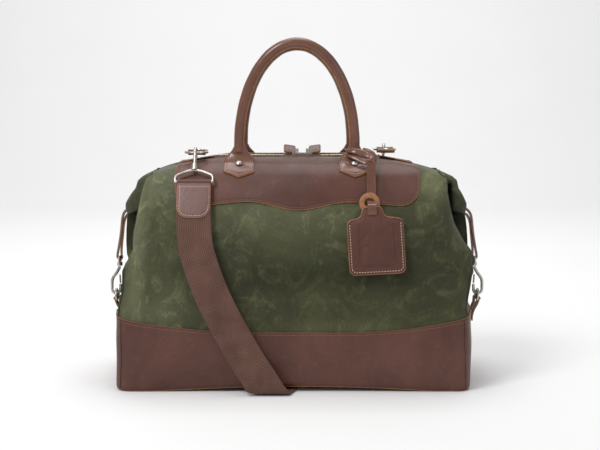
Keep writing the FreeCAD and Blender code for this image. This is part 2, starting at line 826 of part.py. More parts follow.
def frame_shape():
    """The strap frame: a hub on the swivel, two sloping arms and the bar of the strap."""
    half = size("frame_half_width")
    wire = size("frame_wire")
    bar_left = Vector(-half, swivel.y - 13, swivel.z - 19.5)
    shoulder = Vector(-half, swivel.y - 8, swivel.z - 11)
    hub = swivel - stem_way * 1.5

    def flipped(point):
        return Vector(-point.x, point.y, point.z)

    arms = wire_form([bar_left, shoulder, hub, flipped(shoulder), flipped(bar_left)], wire)
    bar = rod(bar_left, flipped(bar_left), wire)
    ends = Part.makeSphere(wire, bar_left).fuse(Part.makeSphere(wire, flipped(bar_left)))
    boss = rod(hub - stem_way * 3.5, swivel + stem_way * 3.0, 4.6)
    return arms.fuse(bar).fuse(ends).fuse(boss)


hook = hook_shape()
gate = gate_shape(gate_pivot, gate_tip, size("gate_wire"), hook_wire + 3.6)
frame = frame_shape()
for name in ("left", "right"):
    station = strap_station(name)
    add_shape("strap_frame_" + name, placed(frame, station))
    add_shape("strap_hook_" + name, placed(hook, station))
    add_shape("strap_gate_" + name, placed(gate, station))

# ---------------------------------------------------------------- shoulder strap
# The webbing's middle line, from the left frame down the front, under the bag and up
# the back to the right frame.
STRAP_ROUTE = [
    (-150, -101.2, 296), (-149.5, -129, 229.6), (-139, -137, 190), (-120, -142, 140),
    (-97, -144, 96), (-75, -147, 57), (-53, -152, 24), (-39, -155, 1.8),
    (-24, -110, 1.6), (-5, -55, 1.7), (15, 0, 1.6), (35, 58, 1.7), (56, 112, 1.6),
    (74, 156, 1.8), (82, 154, 25), (92, 149, 62), (103, 146, 103), (122, 142, 188),
    (136.5, 129, 229.6), (137, 101.2, 296),
]


def webbing(route, width, thick):
    """A flat band along the route. Every cut across it is level, so it folds flat."""
    points = [Vector(*p) for p in route]
    corners = [[], [], [], []]
    last = len(points) - 1
    for i, point in enumerate(points):
        run = (points[min(i + 1, last)] - points[max(i - 1, 0)]).normalize()
        level = X_AXIS * (width / 2 / math.sqrt(1 - run.x ** 2))
        normal = run.cross(X_AXIS).normalize() * (thick / 2)
        for k, (w, t) in enumerate(((-1, -1), (1, -1), (1, 1), (-1, 1))):
            corners[k].append(point + level * w + normal * t)
    paths = [rounded_path(line) for line in corners]
    faces = []
    for k in range(4):
        for near, far in zip(paths[k], paths[(k + 1) % 4]):
            faces.append(Part.makeRuledSurface(near, far))
    for end in (0, -1):
        ring = [corners[k][end] for k in range(4)] + [corners[0][end]]
        faces.append(Part.Face(Part.Wire(lines_through(ring))))
    shell = Part.makeShell(faces)
    shell.sewShape()
    solid = Part.Solid(Part.Shell(shell.Faces))
    if solid.Volume < 0:
        solid.reverse()
    return solid, sum(edge.Length for edge in Part.Wire(rounded_path(points)).Edges)


strap, strap_length = webbing(STRAP_ROUTE, size("webbing_width"), size("webbing_thick"))
section_area = size("webbing_width") * size("webbing_thick")
print("strap length %.0f mm, volume ratio %.3f" % (
    strap_length, strap.Volume / (section_area * strap_length)))
add_shape("strap_webbing", strap)


def strap_end(bar):
    """Leather folded over the frame's bar and sewn to both faces of the webbing's end."""
    half = size("webbing_width") / 2
    length = size("end_tab_length")
    inner = size("webbing_thick") / 2 + 0.05
    outer = inner + 2.0
    bore = size("frame_wire") + 0.3
    fold = Part.makeCylinder(bore + 2.0, 2 * half, Vector(-half, 0, 0), X_AXIS)
    bore_cut = Part.makeCylinder(bore, 4 * half, Vector(-2 * half, 0, 0), X_AXIS)
    plates = block((-half, half), (-outer, outer), (-length, 0))
    lower_round = Part.makeCylinder(half, 20, Vector(0, -10, -length + half), Y_AXIS)
    upper = block((-half, half), (-outer, outer), (-length + half, 0))
    plates = plates.common(lower_round).fuse(upper)
    room = block((-half - 1, half + 1), (-inner, inner), (-length - 1, -bore - 1.2))
    piece = plates.fuse(fold).cut(bore_cut).cut(room)
    run = Vector(0, -18, -43)
    tilt = math.degrees(math.atan2(run.y, -run.z))
    piece.Placement = FreeCAD.Placement(bar, FreeCAD.Rotation(X_AXIS, tilt))
    return piece


frame_bar = Vector(0, swivel.y - 13, swivel.z - 19.5)
add_shape("strap_end_left", placed(strap_end(frame_bar), strap_station("left")))
add_shape("strap_end_right", placed(strap_end(frame_bar), strap_station("right")))

glide = add_body("strap_glide")
glide_outline = add_sketch(glide, "outline", "XY_Plane")
add_rectangle(glide_outline, "Sizes.glide_width", "Sizes.glide_depth")
glide_pad = add_pad(glide, glide_outline, "Sizes.glide_height")
add_edge_fillet(glide, glide_pad, Z_AXIS, "3")
glide_passage = add_sketch(glide, "passage", "XY_Plane")
add_rectangle(glide_passage, "Sizes.glide_passage_width", "Sizes.glide_passage_depth")
add_pocket(glide, glide_passage)
GLIDE_RUN = 16
glide_low = Vector(*STRAP_ROUTE[GLIDE_RUN])
glide_high = Vector(*STRAP_ROUTE[GLIDE_RUN + 1])
glide_way = (glide_high - glide_low).normalize()
glide_across = (X_AXIS - glide_way * X_AXIS.dot(glide_way)).normalize()
glide.Placement = FreeCAD.Placement(
    (glide_low + glide_high) / 2,
    FreeCAD.Rotation(glide_across, glide_way.cross(glide_across), glide_way, "ZXY"),
)

# ---------------------------------------------------------------- end fastenings
side_x = size("side_x")
side_ring_z = size("side_ring_z")
side_bar = Vector(side_x - 4, 0, side_ring_z - 26)
side_hook_r = 6.5
side_wire = 2.3
side_leg = 8.0
side_hook_centre = Vector(side_x, 0, side_ring_z)
side_swivel = Vector(274, 0, 172)


def side_hook_shape():
    """A small snap hook: stem down from its eye and a turn under the ring's bow."""
    outer = side_hook_centre + X_AXIS * side_hook_r
    inner = side_hook_centre - X_AXIS * side_hook_r
    low = side_hook_centre - Z_AXIS * side_hook_r
    neck = Vector(side_swivel.x + 4, 0, side_swivel.z - 13)
    shoulder = outer + Z_AXIS * 16
    tip = inner + Z_AXIS * side_leg
    upper = rounded_path([side_swivel - Z_AXIS * 4.4, neck, shoulder, outer])
    path = Part.Wire(upper + [
        Part.Arc(outer, low, inner).toShape(),
        Part.LineSegment(inner, tip).toShape(),
    ])
    start = upper[0].Vertexes[0].Point
    profile = Part.Wire(Part.makeCircle(side_wire, start, neck - start))
    return path.makePipeShell([profile], True, True, 2)


def side_eye_shape():
    """The swivel eye: a boss over the hook's stem under a wire loop for the leather."""
    boss = rod(side_swivel - Z_AXIS * 3.0, side_swivel + Z_AXIS * 2.5, 4.2)
    low = side_swivel + Z_AXIS * 1.5
    loop = wire_form([
        low + Y_AXIS * -2, low + Y_AXIS * -9 + Z_AXIS * 2, low + Y_AXIS * -9 + Z_AXIS * 9,
        low + Y_AXIS * 9 + Z_AXIS * 9, low + Y_AXIS * 9 + Z_AXIS * 2, low + Y_AXIS * 2,
    ], 1.7)
    return boss.fuse(loop)


eye_bar = side_swivel + Z_AXIS * 10.5
side_ring = d_ring(side_bar, Y_AXIS, (side_hook_centre - side_bar).normalize(), 12.0, 2.0)
side_ring.translate((side_hook_centre - side_bar).normalize() * (
    (side_hook_centre - side_bar).Length - 14.0))
side_bar_centre = side_hook_centre - (side_hook_centre - side_bar).normalize() * 14.0
side_gate_tip = side_hook_centre + Vector(-side_hook_r, 0, side_leg + side_wire + 0.4)
side_gate_pivot = Vector(side_swivel.x + 0.5, 0, side_swivel.z - 15)
side_gate = gate_shape(side_gate_pivot, side_gate_tip, 1.5, 2.0)


def side_strap_shape():
    """The leather strap from the wing's tip to the eye, folded through its loop."""
    low = eye_bar
    fold = rod(low + Y_AXIS * -6.5, low + Y_AXIS * 6.5, 4.4)
    bore = rod(low + Y_AXIS * -12, low + Y_AXIS * 12, 2.1)
    strap_plate = block((low.x - 2.4, low.x + 2.4), (-6.5, 6.5), (low.z + 3, 252))
    return strap_plate.fuse(fold).cut(bore)


def side_loop_shape():
    """The leather loop on the boot's end that holds the side ring's bar."""
    seat = side_bar_centre
    fold = rod(seat + Y_AXIS * -9.0, seat + Y_AXIS * 9.0, 4.6)
    bore = rod(seat + Y_AXIS * -20, seat + Y_AXIS * 20, 2.4)
    plate = block((seat.x - 12, seat.x - 1.5), (-9, 9), (seat.z - 30, seat.z))
    outer_plate = block((seat.x - 3.5, seat.x + 1.2), (-9, 9), (seat.z - 30, seat.z))
    return plate.fuse(outer_plate).fuse(fold).cut(bore).cut(outside)


wings = {-1: doc.getObject("wing_left").Shape, 1: doc.getObject("wing_right").Shape}
side_strap = side_strap_shape().cut(wings[1])
side_loop = side_loop_shape()
for side, name in ((-1, "left"), (1, "right")):
    pieces = {
        "side_eye_": side_eye_shape(),
        "side_hook_": side_hook_shape(),
        "side_gate_": side_gate,
        "side_ring_": side_ring,
    }
    for stem, shape in pieces.items():
        add_shape(stem + name, shape if side > 0 else mirrored_x(shape))
add_shape("side_straps", Part.makeCompound([side_strap, mirrored_x(side_strap)]))
add_shape("side_loops", Part.makeCompound([side_loop, mirrored_x(side_loop)]))

# ---------------------------------------------------------------- luggage tag
tag_pivot = Vector(109, -79, 335.6)
tag_plane_point = Vector(115, -118.5, 240)
tag_lean = math.degrees(math.atan(0.2))
tag_turn = FreeCAD.Rotation(X_AXIS, 90 - tag_lean)
tag_height = 213.5
tag_middle = Vector(115, tag_plane_point.y - 0.2 * (tag_plane_point.z - tag_height), tag_height)

tag = add_body("tag_body")
tag_outline = add_sketch(tag, "outline")
add_rectangle(tag_outline, "Sizes.tag_width", "Sizes.tag_length")
tag_pad = add_pad(tag, tag_outline, "Sizes.tag_thick")
add_edge_fillet(tag, tag_pad, Z_AXIS, "Sizes.tag_corner")
tag_neck = add_sketch(tag, "neck")
add_rectangle(
    tag_neck, "Sizes.tag_neck_width", "Sizes.tag_neck_length",
    shift_x="-6", shift_y="(Sizes.tag_length + Sizes.tag_neck_length) / 2 - 1",
)
add_pad(tag, tag_neck, "Sizes.tag_thick")
tag_slot = add_sketch(tag, "slot")
add_rectangle(
    tag_slot, "Sizes.tag_slot_width", "Sizes.tag_slot_length",
    shift_x="-6", shift_y="Sizes.tag_length / 2 + 2",
)
add_pocket(tag, tag_slot)
tag.Placement = FreeCAD.Placement(tag_middle, tag_turn)

disc = add_body("tag_back")
disc_outline = add_sketch(disc, "outline")
add_circle(disc_outline, "Sizes.disc_radius")
add_pad(disc, disc_outline, "Sizes.disc_thick")
disc_slot = add_sketch(disc, "slot")
add_rectangle(disc_slot, "Sizes.tag_slot_width", "Sizes.tag_slot_length")
add_pocket(disc, disc_slot)
plane_up = tag_turn.multVec(Y_AXIS)
plane_out = tag_turn.multVec(Z_AXIS)
disc_up = 64.5
disc_back = -(size("tag_thick") + size("disc_thick")) / 2 - 0.3
disc.Placement = FreeCAD.Placement(
    tag_middle + plane_up * disc_up + plane_out * disc_back + X_AXIS * -6, tag_turn,
)


def tag_strap_shape():
    """The tag's strap: down behind the disc, out through it and back in at the tag's slot."""
    half = size("tag_strap_width") / 2
    thick = size("tag_strap_thick")
    slot_up = size("tag_length") / 2 + 2
    line = tag_middle + X_AXIS * -6
    front = size("tag_thick") / 2 + 0.4 + thick / 2
    back = disc_back - size("disc_thick") / 2 - 0.9 - thick / 2
    upper = Vector(line.x, tag_pivot.y, tag_pivot.z)
    behind = line + plane_up * disc_up + plane_out * back

    def run(start, end, extra):
        """A flat length of strap from start to end, whose ends reach an extra bit further."""
        way = end - start
        piece = block((-half, half), (-thick / 2, thick / 2), (-way.Length - extra, extra))
        turn = FreeCAD.Rotation(X_AXIS, math.degrees(math.atan2(way.y, -way.z)))
        piece.Placement = FreeCAD.Placement(start, turn)
        return piece

    above_slot = line + plane_up * slot_up + plane_out * front
    over_disc = line + plane_up * disc_up + plane_out * front
    within_slot = line + plane_up * slot_up - plane_out * 3
    strap = run(upper, behind, 0).fuse(run(behind, over_disc, thick / 2))
    strap = strap.fuse(run(over_disc, above_slot, thick / 2))
    return strap.fuse(run(above_slot, within_slot, thick / 2))


add_shape("tag_strap", tag_strap_shape())

knot_ring_inner = size("handle_radius") + 0.3
knot_low = 337.0
knot_top = 349.5
leg_centre = Vector(leg_x, -handle_y, 0)
knot_band = Part.makeCylinder(knot_ring_inner + 4.5, knot_top - knot_low,
                              leg_centre + Z_AXIS * knot_low)
knot_bore = Part.makeCylinder(knot_ring_inner, 60, leg_centre + Z_AXIS * 310)
knot_lump = block((leg_x + 6, 119), (-80.5, -54), (knot_low, knot_top))
knot = knot_band.fuse(knot_lump).cut(knot_bore).cut(envelope(-anchor_thick - 0.3))
knot = knot.cut(doc.getObject("tag_strap").Shape)
add_shape("tag_knot", knot)

# ---------------------------------------------------------------- check and export
doc.recompute()
sub_parts = []
for thing in doc.Objects:
    if "Invalid" in thing.State or "Error" in thing.State:
        raise RuntimeError("%s failed: %s" % (thing.Label, thing.State))
    if thing.TypeId == "PartDesign::Body" or thing.TypeId == "Part::Feature":
        sub_parts.append(thing)
for thing in sub_parts:
    if thing.Shape.isNull() or not thing.Shape.isValid() or not thing.Shape.Solids:
        raise RuntimeError(thing.Label + " has no valid solid")

os.makedirs("parts", exist_ok=True)
for thing in sub_parts:
    thing.Shape.exportStep("parts/" + thing.Label + ".step")
print("%d sub-parts written" % len(sub_parts))
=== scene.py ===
import math
import bpy
import numpy as np
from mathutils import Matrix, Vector


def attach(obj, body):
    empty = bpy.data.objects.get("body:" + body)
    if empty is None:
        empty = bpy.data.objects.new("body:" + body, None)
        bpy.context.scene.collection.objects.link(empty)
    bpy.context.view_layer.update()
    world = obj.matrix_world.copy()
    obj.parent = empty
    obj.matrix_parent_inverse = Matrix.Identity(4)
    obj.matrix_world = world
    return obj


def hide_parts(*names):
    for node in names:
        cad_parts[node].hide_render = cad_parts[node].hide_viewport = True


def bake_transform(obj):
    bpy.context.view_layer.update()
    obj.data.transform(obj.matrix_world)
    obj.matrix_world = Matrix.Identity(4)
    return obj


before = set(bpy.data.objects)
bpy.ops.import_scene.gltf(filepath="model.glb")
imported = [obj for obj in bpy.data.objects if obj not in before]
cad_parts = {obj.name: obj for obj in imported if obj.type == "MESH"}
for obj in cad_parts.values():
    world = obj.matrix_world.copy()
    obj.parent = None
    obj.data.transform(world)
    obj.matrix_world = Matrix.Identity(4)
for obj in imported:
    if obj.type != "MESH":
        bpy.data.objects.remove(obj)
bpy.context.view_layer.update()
scene = bpy.context.scene
MM = 0.001

# ---------------------------------------------------------------- camera
camera = bpy.data.objects.new("camera", bpy.data.cameras.new("camera"))
scene.collection.objects.link(camera)
camera.data.lens = 74.4
camera.data.sensor_width = 36.0
camera.location = (0.0046, -1.9, 0.44)
camera.rotation_euler = (math.radians(90 - 6.25), 0, 0)
scene.camera = camera


# ---------------------------------------------------------------- materials
class Finish:
    """A node material around one Principled shader, with short helpers to wire it."""

    def __init__(self, name, **values):
        self.material = bpy.data.materials.new(name)
        self.material.use_nodes = True
        self.tree = self.material.node_tree
        self.shader = next(n for n in self.tree.nodes if n.type == "BSDF_PRINCIPLED")
        for socket, value in values.items():
            self.shader.inputs[socket.replace("_", " ")].default_value = value
        self.where = self.node("ShaderNodeTexCoord")

    def node(self, kind, **settings):
        made = self.tree.nodes.new(kind)
        for key, value in settings.items():
            setattr(made, key, value)
        return made

    def link(self, source, target):
        self.tree.links.new(source, target)

    def coordinates(self, source="Object", scale=(1, 1, 1), turn=(0, 0, 0)):
        mapping = self.node("ShaderNodeMapping")
        mapping.inputs["Scale"].default_value = scale
        mapping.inputs["Rotation"].default_value = turn
        self.link(self.where.outputs[source], mapping.inputs["Vector"])
        return mapping.outputs["Vector"]

    def noise(self, scale, detail, rough=0.55, warp=0.0, vector=None):
        made = self.node("ShaderNodeTexNoise")
        made.inputs["Scale"].default_value = scale
        made.inputs["Detail"].default_value = detail
        made.inputs["Roughness"].default_value = rough
        made.inputs["Distortion"].default_value = warp
        self.link(vector or self.coordinates(), made.inputs["Vector"])
        return made.outputs["Fac"]

    def cells(self, scale):
        made = self.node("ShaderNodeTexVoronoi", feature="F1")
        made.inputs["Scale"].default_value = scale
        self.link(self.coordinates(), made.inputs["Vector"])
        return made.outputs["Distance"]

    def bands(self, scale, direction, source="Object"):
        made = self.node("ShaderNodeTexWave", bands_direction=direction, wave_profile="SIN")
        made.inputs["Scale"].default_value = scale
        made.inputs["Distortion"].default_value = 0.0
        self.link(self.coordinates(source), made.inputs["Vector"])
        return made.outputs["Fac"]

    def math(self, operation, first, second):
        made = self.node("ShaderNodeMath", operation=operation)
        for socket, value in zip(made.inputs, (first, second)):
            if isinstance(value, (int, float)):
                socket.default_value = value
            else:
                self.link(value, socket)
        return made.outputs["Value"]

    def ramp(self, source, *stops):
        made = self.node("ShaderNodeValToRGB")
        elements = made.color_ramp.elements
        while len(elements) < len(stops):
            elements.new(0.5)
        for element, (position, colour) in zip(elements, stops):
            element.position = position
            if isinstance(colour, (int, float)):
                colour = (colour, colour, colour)
            element.color = (*colour, 1.0)
        self.link(source, made.inputs["Fac"])
        return made.outputs["Color"]

    def mix(self, factor, first, second, blend="MIX"):
        made = self.node("ShaderNodeMix", data_type="RGBA", blend_type=blend)
        for socket, value in zip((made.inputs[0], made.inputs[6], made.inputs[7]),
                                 (factor, first, second)):
            if isinstance(value, tuple):
                socket.default_value = (*value, 1.0)
            elif isinstance(value, (int, float)):
                socket.default_value = value
            else:
                self.link(value, socket)
        return made.outputs[2]

    def shade(self, colour):
        """Paints light and shade into the colour: multiplies it by the mesh's own shade attribute, darker
        where that is low and paler where it is above one.
        """
        attribute = self.node("ShaderNodeAttribute", attribute_name="shade")
        return self.mix(1.0, colour, attribute.outputs["Color"], "MULTIPLY")

    def dim(self, socket):
        """Lets the mesh's shade attribute scale a level of the shader as well."""
        attribute = self.node("ShaderNodeAttribute", attribute_name="shade")
        level = self.shader.inputs[socket].default_value
        self.link(self.math("MULTIPLY", attribute.outputs["Fac"], level), self.shader.inputs[socket])

    def colour(self, output):
        self.link(output, self.shader.inputs["Base Color"])

    def roughness(self, source, low, high):
        self.link(self.ramp(source, (0.0, low), (1.0, high)), self.shader.inputs["Roughness"])

    def bump(self, height, distance, strength):
        made = self.node("ShaderNodeBump")
        made.inputs["Distance"].default_value = distance
        made.inputs["Strength"].default_value = strength
        self.link(height, made.inputs["Height"])
        previous = self.shader.inputs["Normal"]
        if previous.is_linked:
            self.link(previous.links[0].from_socket, made.inputs["Normal"])
        self.link(made.outputs["Normal"], previous)


def leather_finish(name, dark, light, worn, roughness=0.42, grain=1.0, coat=0.04):
    """Oily pull-up leather: cloudy colour, fine pores and creases, lighter where it bends."""
    finish = Finish(name, IOR=1.45, Specular_IOR_Level=0.42, Coat_Weight=coat, Coat_Roughness=0.18)
    cloud = finish.noise(9.0, 5.0, 0.6, 0.6)
    fleck = finish.noise(75.0, 4.0, 0.7, 1.2)
    base = finish.ramp(cloud, (0.34, dark), (0.66, light))
    pull = finish.ramp(fleck, (0.56, 0.0), (0.80, 0.42))
    base = finish.mix(pull, base, worn)
    fibre = finish.noise(700.0, 2.0)
    base = finish.mix(0.22, base, finish.ramp(fibre, (0.3, 0.55), (0.7, 1.0)), "MULTIPLY")
    finish.colour(finish.shade(base))
    finish.roughness(finish.noise(40.0, 3.0), roughness - 0.08, roughness + 0.14)
    pores = finish.ramp(finish.cells(900.0), (0.0, 0.0), (0.35, 1.0))
    finish.bump(pores, 0.00012 * grain, 0.35)
    creases = finish.ramp(finish.noise(55.0, 5.0, 0.65, 1.6), (0.35, 0.0), (0.6, 1.0))
    finish.bump(creases, 0.0003 * grain, 0.35)
    return finish.material


def canvas_finish(name, dark, light, scuff):
    """Waxed canvas: a plain weave under wax that pales along its scuffs and folds."""
    finish = Finish(name, Roughness=0.7, Specular_IOR_Level=0.3, Sheen_Weight=0.05, Sheen_Roughness=0.5)
    cloud = finish.noise(6.5, 4.0, 0.6, 0.8)
    patch = finish.noise(24.0, 6.0, 0.68, 1.4)
    base = finish.ramp(cloud, (0.36, dark), (0.64, light))
    base = finish.mix(finish.ramp(patch, (0.50, 0.0), (0.74, 0.5)), base, scuff)
    warp = finish.coordinates(scale=(1.0, 1.0, 0.45), turn=(0.0, 0.5, 0.0))
    vein = finish.noise(17.0, 7.0, 0.62, 2.4, warp)
    line = finish.ramp(vein, (0.478, 0.0), (0.497, 0.5), (0.516, 0.0))
    line = finish.mix(1.0, line, finish.ramp(patch, (0.42, 0.0), (0.62, 1.0)), "MULTIPLY")
    base = finish.mix(line, base, scuff)
    slub = finish.noise(420.0, 3.0, 0.6)
    base = finish.mix(0.55, base, finish.ramp(slub, (0.28, 0.45), (0.72, 1.0)), "MULTIPLY")
    across = finish.bands(190.0, "X")
    upward = finish.bands(190.0, "Z")
    weave = finish.math("MULTIPLY", across, upward)
    base = finish.mix(0.35, base, finish.ramp(weave, (0.0, 0.6), (0.6, 1.0)), "MULTIPLY")
    # painted light and shade: the shade attribute multiplies the colour and scales the specular level and the
    # sheen
    finish.colour(finish.shade(base))
    finish.dim("Specular IOR Level")
    finish.dim("Sheen Weight")
    finish.roughness(patch, 0.5, 0.78)
    finish.bump(weave, 0.00025, 0.5)
    finish.bump(finish.noise(38.0, 5.0, 0.6, 1.0), 0.0012, 0.45)
    return finish.material


def webbing_finish():
    """Herringbone cotton webbing: ribs along the strap crossed by fine weft."""
    finish = Finish("webbing", Roughness=0.85, Specular_IOR_Level=0.3, Sheen_Weight=0.06, Sheen_Roughness=0.6)
    rib = finish.bands(120.0, "X", "UV")
    weft = finish.bands(170.0, "DIAGONAL", "UV")
    weave = finish.math("MULTIPLY", rib, weft)
    base = finish.ramp(finish.noise(30.0, 4.0), (0.3, (0.105, 0.050, 0.036)), (0.7, (0.165, 0.083, 0.060)))
    base = finish.mix(0.85, base, finish.ramp(weave, (0.0, 0.5), (0.5, 1.25)), "MULTIPLY")
    finish.colour(base)
    finish.bump(rib, 0.0004, 0.6)
    finish.bump(weft, 0.0002, 0.6)
    return finish.material


def edge_finish():
    """Undyed raw edge of the hide: warm tan with layered fibres."""
    finish = Finish("raw_edge", Roughness=0.6)
    fibre = finish.noise(260.0, 4.0, 0.7)
    blotch = finish.noise(45.0, 3.0)
    base = finish.ramp(fibre, (0.3, (0.21, 0.075, 0.022)), (0.7, (0.42, 0.19, 0.075)))
    base = finish.mix(finish.ramp(blotch, (0.4, 0.0), (0.75, 0.5)), base, (0.16, 0.055, 0.02))
    finish.colour(base)
    finish.bump(fibre, 0.0003, 0.5)
    return finish.material


def metal_finish(name, dark, light, roughness):
    """Cast metal with a brushed, slightly tarnished skin."""
    finish = Finish(name, Metallic=1.0)
    tarnish = finish.noise(160.0, 5.0, 0.65, 0.8)
    finish.colour(finish.ramp(tarnish, (0.32, dark), (0.62, light)))
    finish.roughness(finish.noise(480.0, 3.0), roughness, roughness + 0.2)
    finish.bump(finish.noise(700.0, 3.0), 0.00008, 0.4)
    return finish.material


def thread_finish(name, colour):
    """Waxed thread with its twist."""
    finish = Finish(name, Roughness=0.55)
    twist = finish.bands(900.0, "DIAGONAL")
    finish.colour(finish.mix(0.4, colour, finish.ramp(twist, (0.0, 0.5), (1.0, 1.0)), "MULTIPLY"))
    finish.bump(twist, 0.0001, 0.5)
    return finish.material


def cloth_finish(name, dark, light, scale):
    """Plain woven cotton for the lining and the zip tape."""
    finish = Finish(name, Roughness=0.85)
    weave = finish.math("MULTIPLY", finish.bands(scale, "X"), finish.bands(scale, "Y"))
    base = finish.ramp(finish.noise(60.0, 4.0), (0.3, dark), (0.7, light))
    finish.colour(finish.mix(0.5, base, finish.ramp(weave, (0.0, 0.5), (0.6, 1.0)), "MULTIPLY"))
    finish.bump(weave, 0.0002, 0.6)
    return finish.material


LEATHER = leather_finish("leather", (0.074, 0.026, 0.018), (0.120, 0.046, 0.032), (0.20, 0.088, 0.056))
# Paler than the other leathers: its colour paints the sheen that the light puts on the strap ends and the pull
# tabs, over a real coat of gloss.
SHEEN_LEATHER = leather_finish(
    "sheen_leather", (0.135, 0.070, 0.060), (0.195, 0.108, 0.096), (0.28, 0.155, 0.13), 0.33, 1.3, 0.25)
HANDLE_LEATHER = leather_finish(
    "handle_leather", (0.105, 0.040, 0.024), (0.175, 0.072, 0.044), (0.26, 0.12, 0.075), 0.27, 0.8, 0.35)
CANVAS = canvas_finish("waxed_canvas", (0.034, 0.037, 0.013), (0.066, 0.070, 0.026), (0.160, 0.160, 0.070))
WEBBING = webbing_finish()
EDGE = edge_finish()
NICKEL = metal_finish("antique_nickel", (0.34, 0.31, 0.27), (0.66, 0.63, 0.58), 0.24)
TEETH = metal_finish("zip_teeth", (0.28, 0.24, 0.18), (0.58, 0.53, 0.43), 0.28)
THREAD = thread_finish("thread_brown", (0.20, 0.125, 0.085))
CREAM_THREAD = thread_finish("thread_cream", (0.60, 0.47, 0.38))
TAPE = cloth_finish("zip_tape", (0.030, 0.022, 0.017), (0.055, 0.040, 0.030), 300.0)
LINING = cloth_finish("cotton_lining", (0.12, 0.10, 0.07), (0.18, 0.15, 0.11), 200.0)


# ---------------------------------------------------------------- mesh helpers (millimetres)
def stands_for(made, slot, *nodes):
    """Hides the CAD nodes that a piece takes the place of. The slot is not used."""
    if nodes:
        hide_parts(*nodes)
    return made


def make(name, points, faces, materials, body="root", indices=None, uvs=None, shade=None):
    """One smooth-shaded mesh object from millimetre points, riding on a body."""
    mesh = bpy.data.meshes.new(name)
    mesh.from_pydata((np.asarray(points, float) * MM).tolist(), [], [list(f) for f in faces])
    for material in materials:
        mesh.materials.append(material)
    if indices is not None:
        mesh.polygons.foreach_set("material_index", np.asarray(indices, np.int32))
    if uvs is not None:
        layer = mesh.uv_layers.new(name="UVMap")
        corner = np.zeros(len(mesh.loops), np.int32)
        mesh.loops.foreach_get("vertex_index", corner)
        layer.data.foreach_set("uv", (np.asarray(uvs, float)[corner] * MM).ravel())
    value = np.ones(len(mesh.vertices)) if shade is None else np.asarray(shade, float)
    attribute = mesh.color_attributes.new("shade", "FLOAT_COLOR", "POINT")
    rgba = np.stack([value, value, value, np.ones(len(value))], 1)
    attribute.data.foreach_set("color", rgba.ravel())
    mesh.shade_smooth()
    mesh.update()
    made = bpy.data.objects.new(name, mesh)
    scene.collection.objects.link(made)
    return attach(made, body) if body else made


def grid_faces(rows, columns, closed=False, start=0):
    """Quads between the rows of a grid stored row by row."""
    faces = []
    for i in range(rows - 1):
        for j in range(columns if closed else columns - 1):
            k = (j + 1) % columns
            faces.append((start + i * columns + j, start + i * columns + k,
                          start + (i + 1) * columns + k, start + (i + 1) * columns + j))
    return faces


def turned(faces, wanted=True):
    """The faces seen from their other side, where that is wanted."""
    return [f[::-1] for f in faces] if wanted else faces


def thicken(made, thick, rim=1, bevel=0.45):
    """Gives a sheet its thickness below its face, with the rim in another material."""
    solid = made.modifiers.new("thickness", "SOLIDIFY")
    solid.thickness = thick * MM
    solid.offset = -1.0
    solid.use_even_offset = bevel > 0
    solid.material_offset_rim = rim
    if bevel:
        soften = made.modifiers.new("burnish", "BEVEL")
        soften.width = bevel * MM
        soften.segments = 2
        soften.limit_method = "ANGLE"
        soften.angle_limit = math.radians(50)
    return made


def unit(vectors):
    return vectors / np.maximum(np.linalg.norm(vectors, axis=-1, keepdims=True), 1e-9)


def resample(points, spacing):
    """The polyline at even steps: points, tangents and distance along it."""
    points = np.asarray(points, float)
    steps = np.linalg.norm(np.diff(points, axis=0), axis=1)
    along = np.concatenate([[0], np.cumsum(steps)])
    count = max(int(along[-1] / spacing), 2)
    wanted = np.linspace(0, along[-1], count + 1)
    even = np.stack([np.interp(wanted, along, points[:, i]) for i in range(points.shape[1])], 1)
    return even, unit(np.gradient(even, axis=0)), wanted


def curve_through(points):
    """A Catmull-Rom curve through a few points, eight steps between each two."""
    points = np.asarray(points, float)
    padded = np.vstack([2 * points[0] - points[1], points, 2 * points[-1] - points[-2]])
    out = []
    for a, b, c, d in zip(padded, padded[1:], padded[2:], padded[3:]):
        for s in np.linspace(0, 1, 8, endpoint=False):
            out.append(0.5 * (2 * b + (c - a) * s + (2 * a - 5 * b + 4 * c - d) * s ** 2
                              + (3 * b - a - 3 * c + d) * s ** 3))
    out.append(points[-1])
    return np.array(out)


def sweep(path, radii, sides, up, profile=None):
    """Rings of a tube along a path. radii is one number or (sideways, upwards) pairs."""
    path = np.asarray(path, float)
    tangents = unit(np.gradient(path, axis=0))
    radii = np.broadcast_to(np.asarray(radii, float), (len(path), 2)) if np.ndim(radii) != 2 else radii
    side = unit(np.cross(tangents, np.broadcast_to(up, tangents.shape)))
    top = np.cross(side, tangents)
    angles = np.linspace(0, 2 * math.pi, sides, endpoint=False)
    ring = np.stack([np.cos(angles), np.sin(angles)], 1)
    if profile is not None:
        ring = ring * profile(angles)[:, None]
    rings = (path[:, None] + side[:, None] * ring[None, :, :1] * radii[:, None, :1]
             + top[:, None] * ring[None, :, 1:] * radii[:, None, 1:])
    return rings.reshape(-1, 3)


def tube_faces(rows, sides):
    """The faces of a tube stored ring by ring, with its two ends closed."""
    ends = [tuple(range(sides))[::-1], tuple((rows - 1) * sides + j for j in range(sides))]
    return grid_faces(rows, sides, True) + ends


def tube(name, path, radii, materials, sides, body="root", up=(0, 0, 1)):
    """A tube with closed ends along a path."""
    points = sweep(path, radii, sides, up)
    return make(name, points, tube_faces(len(points) // sides, sides), materials, body)


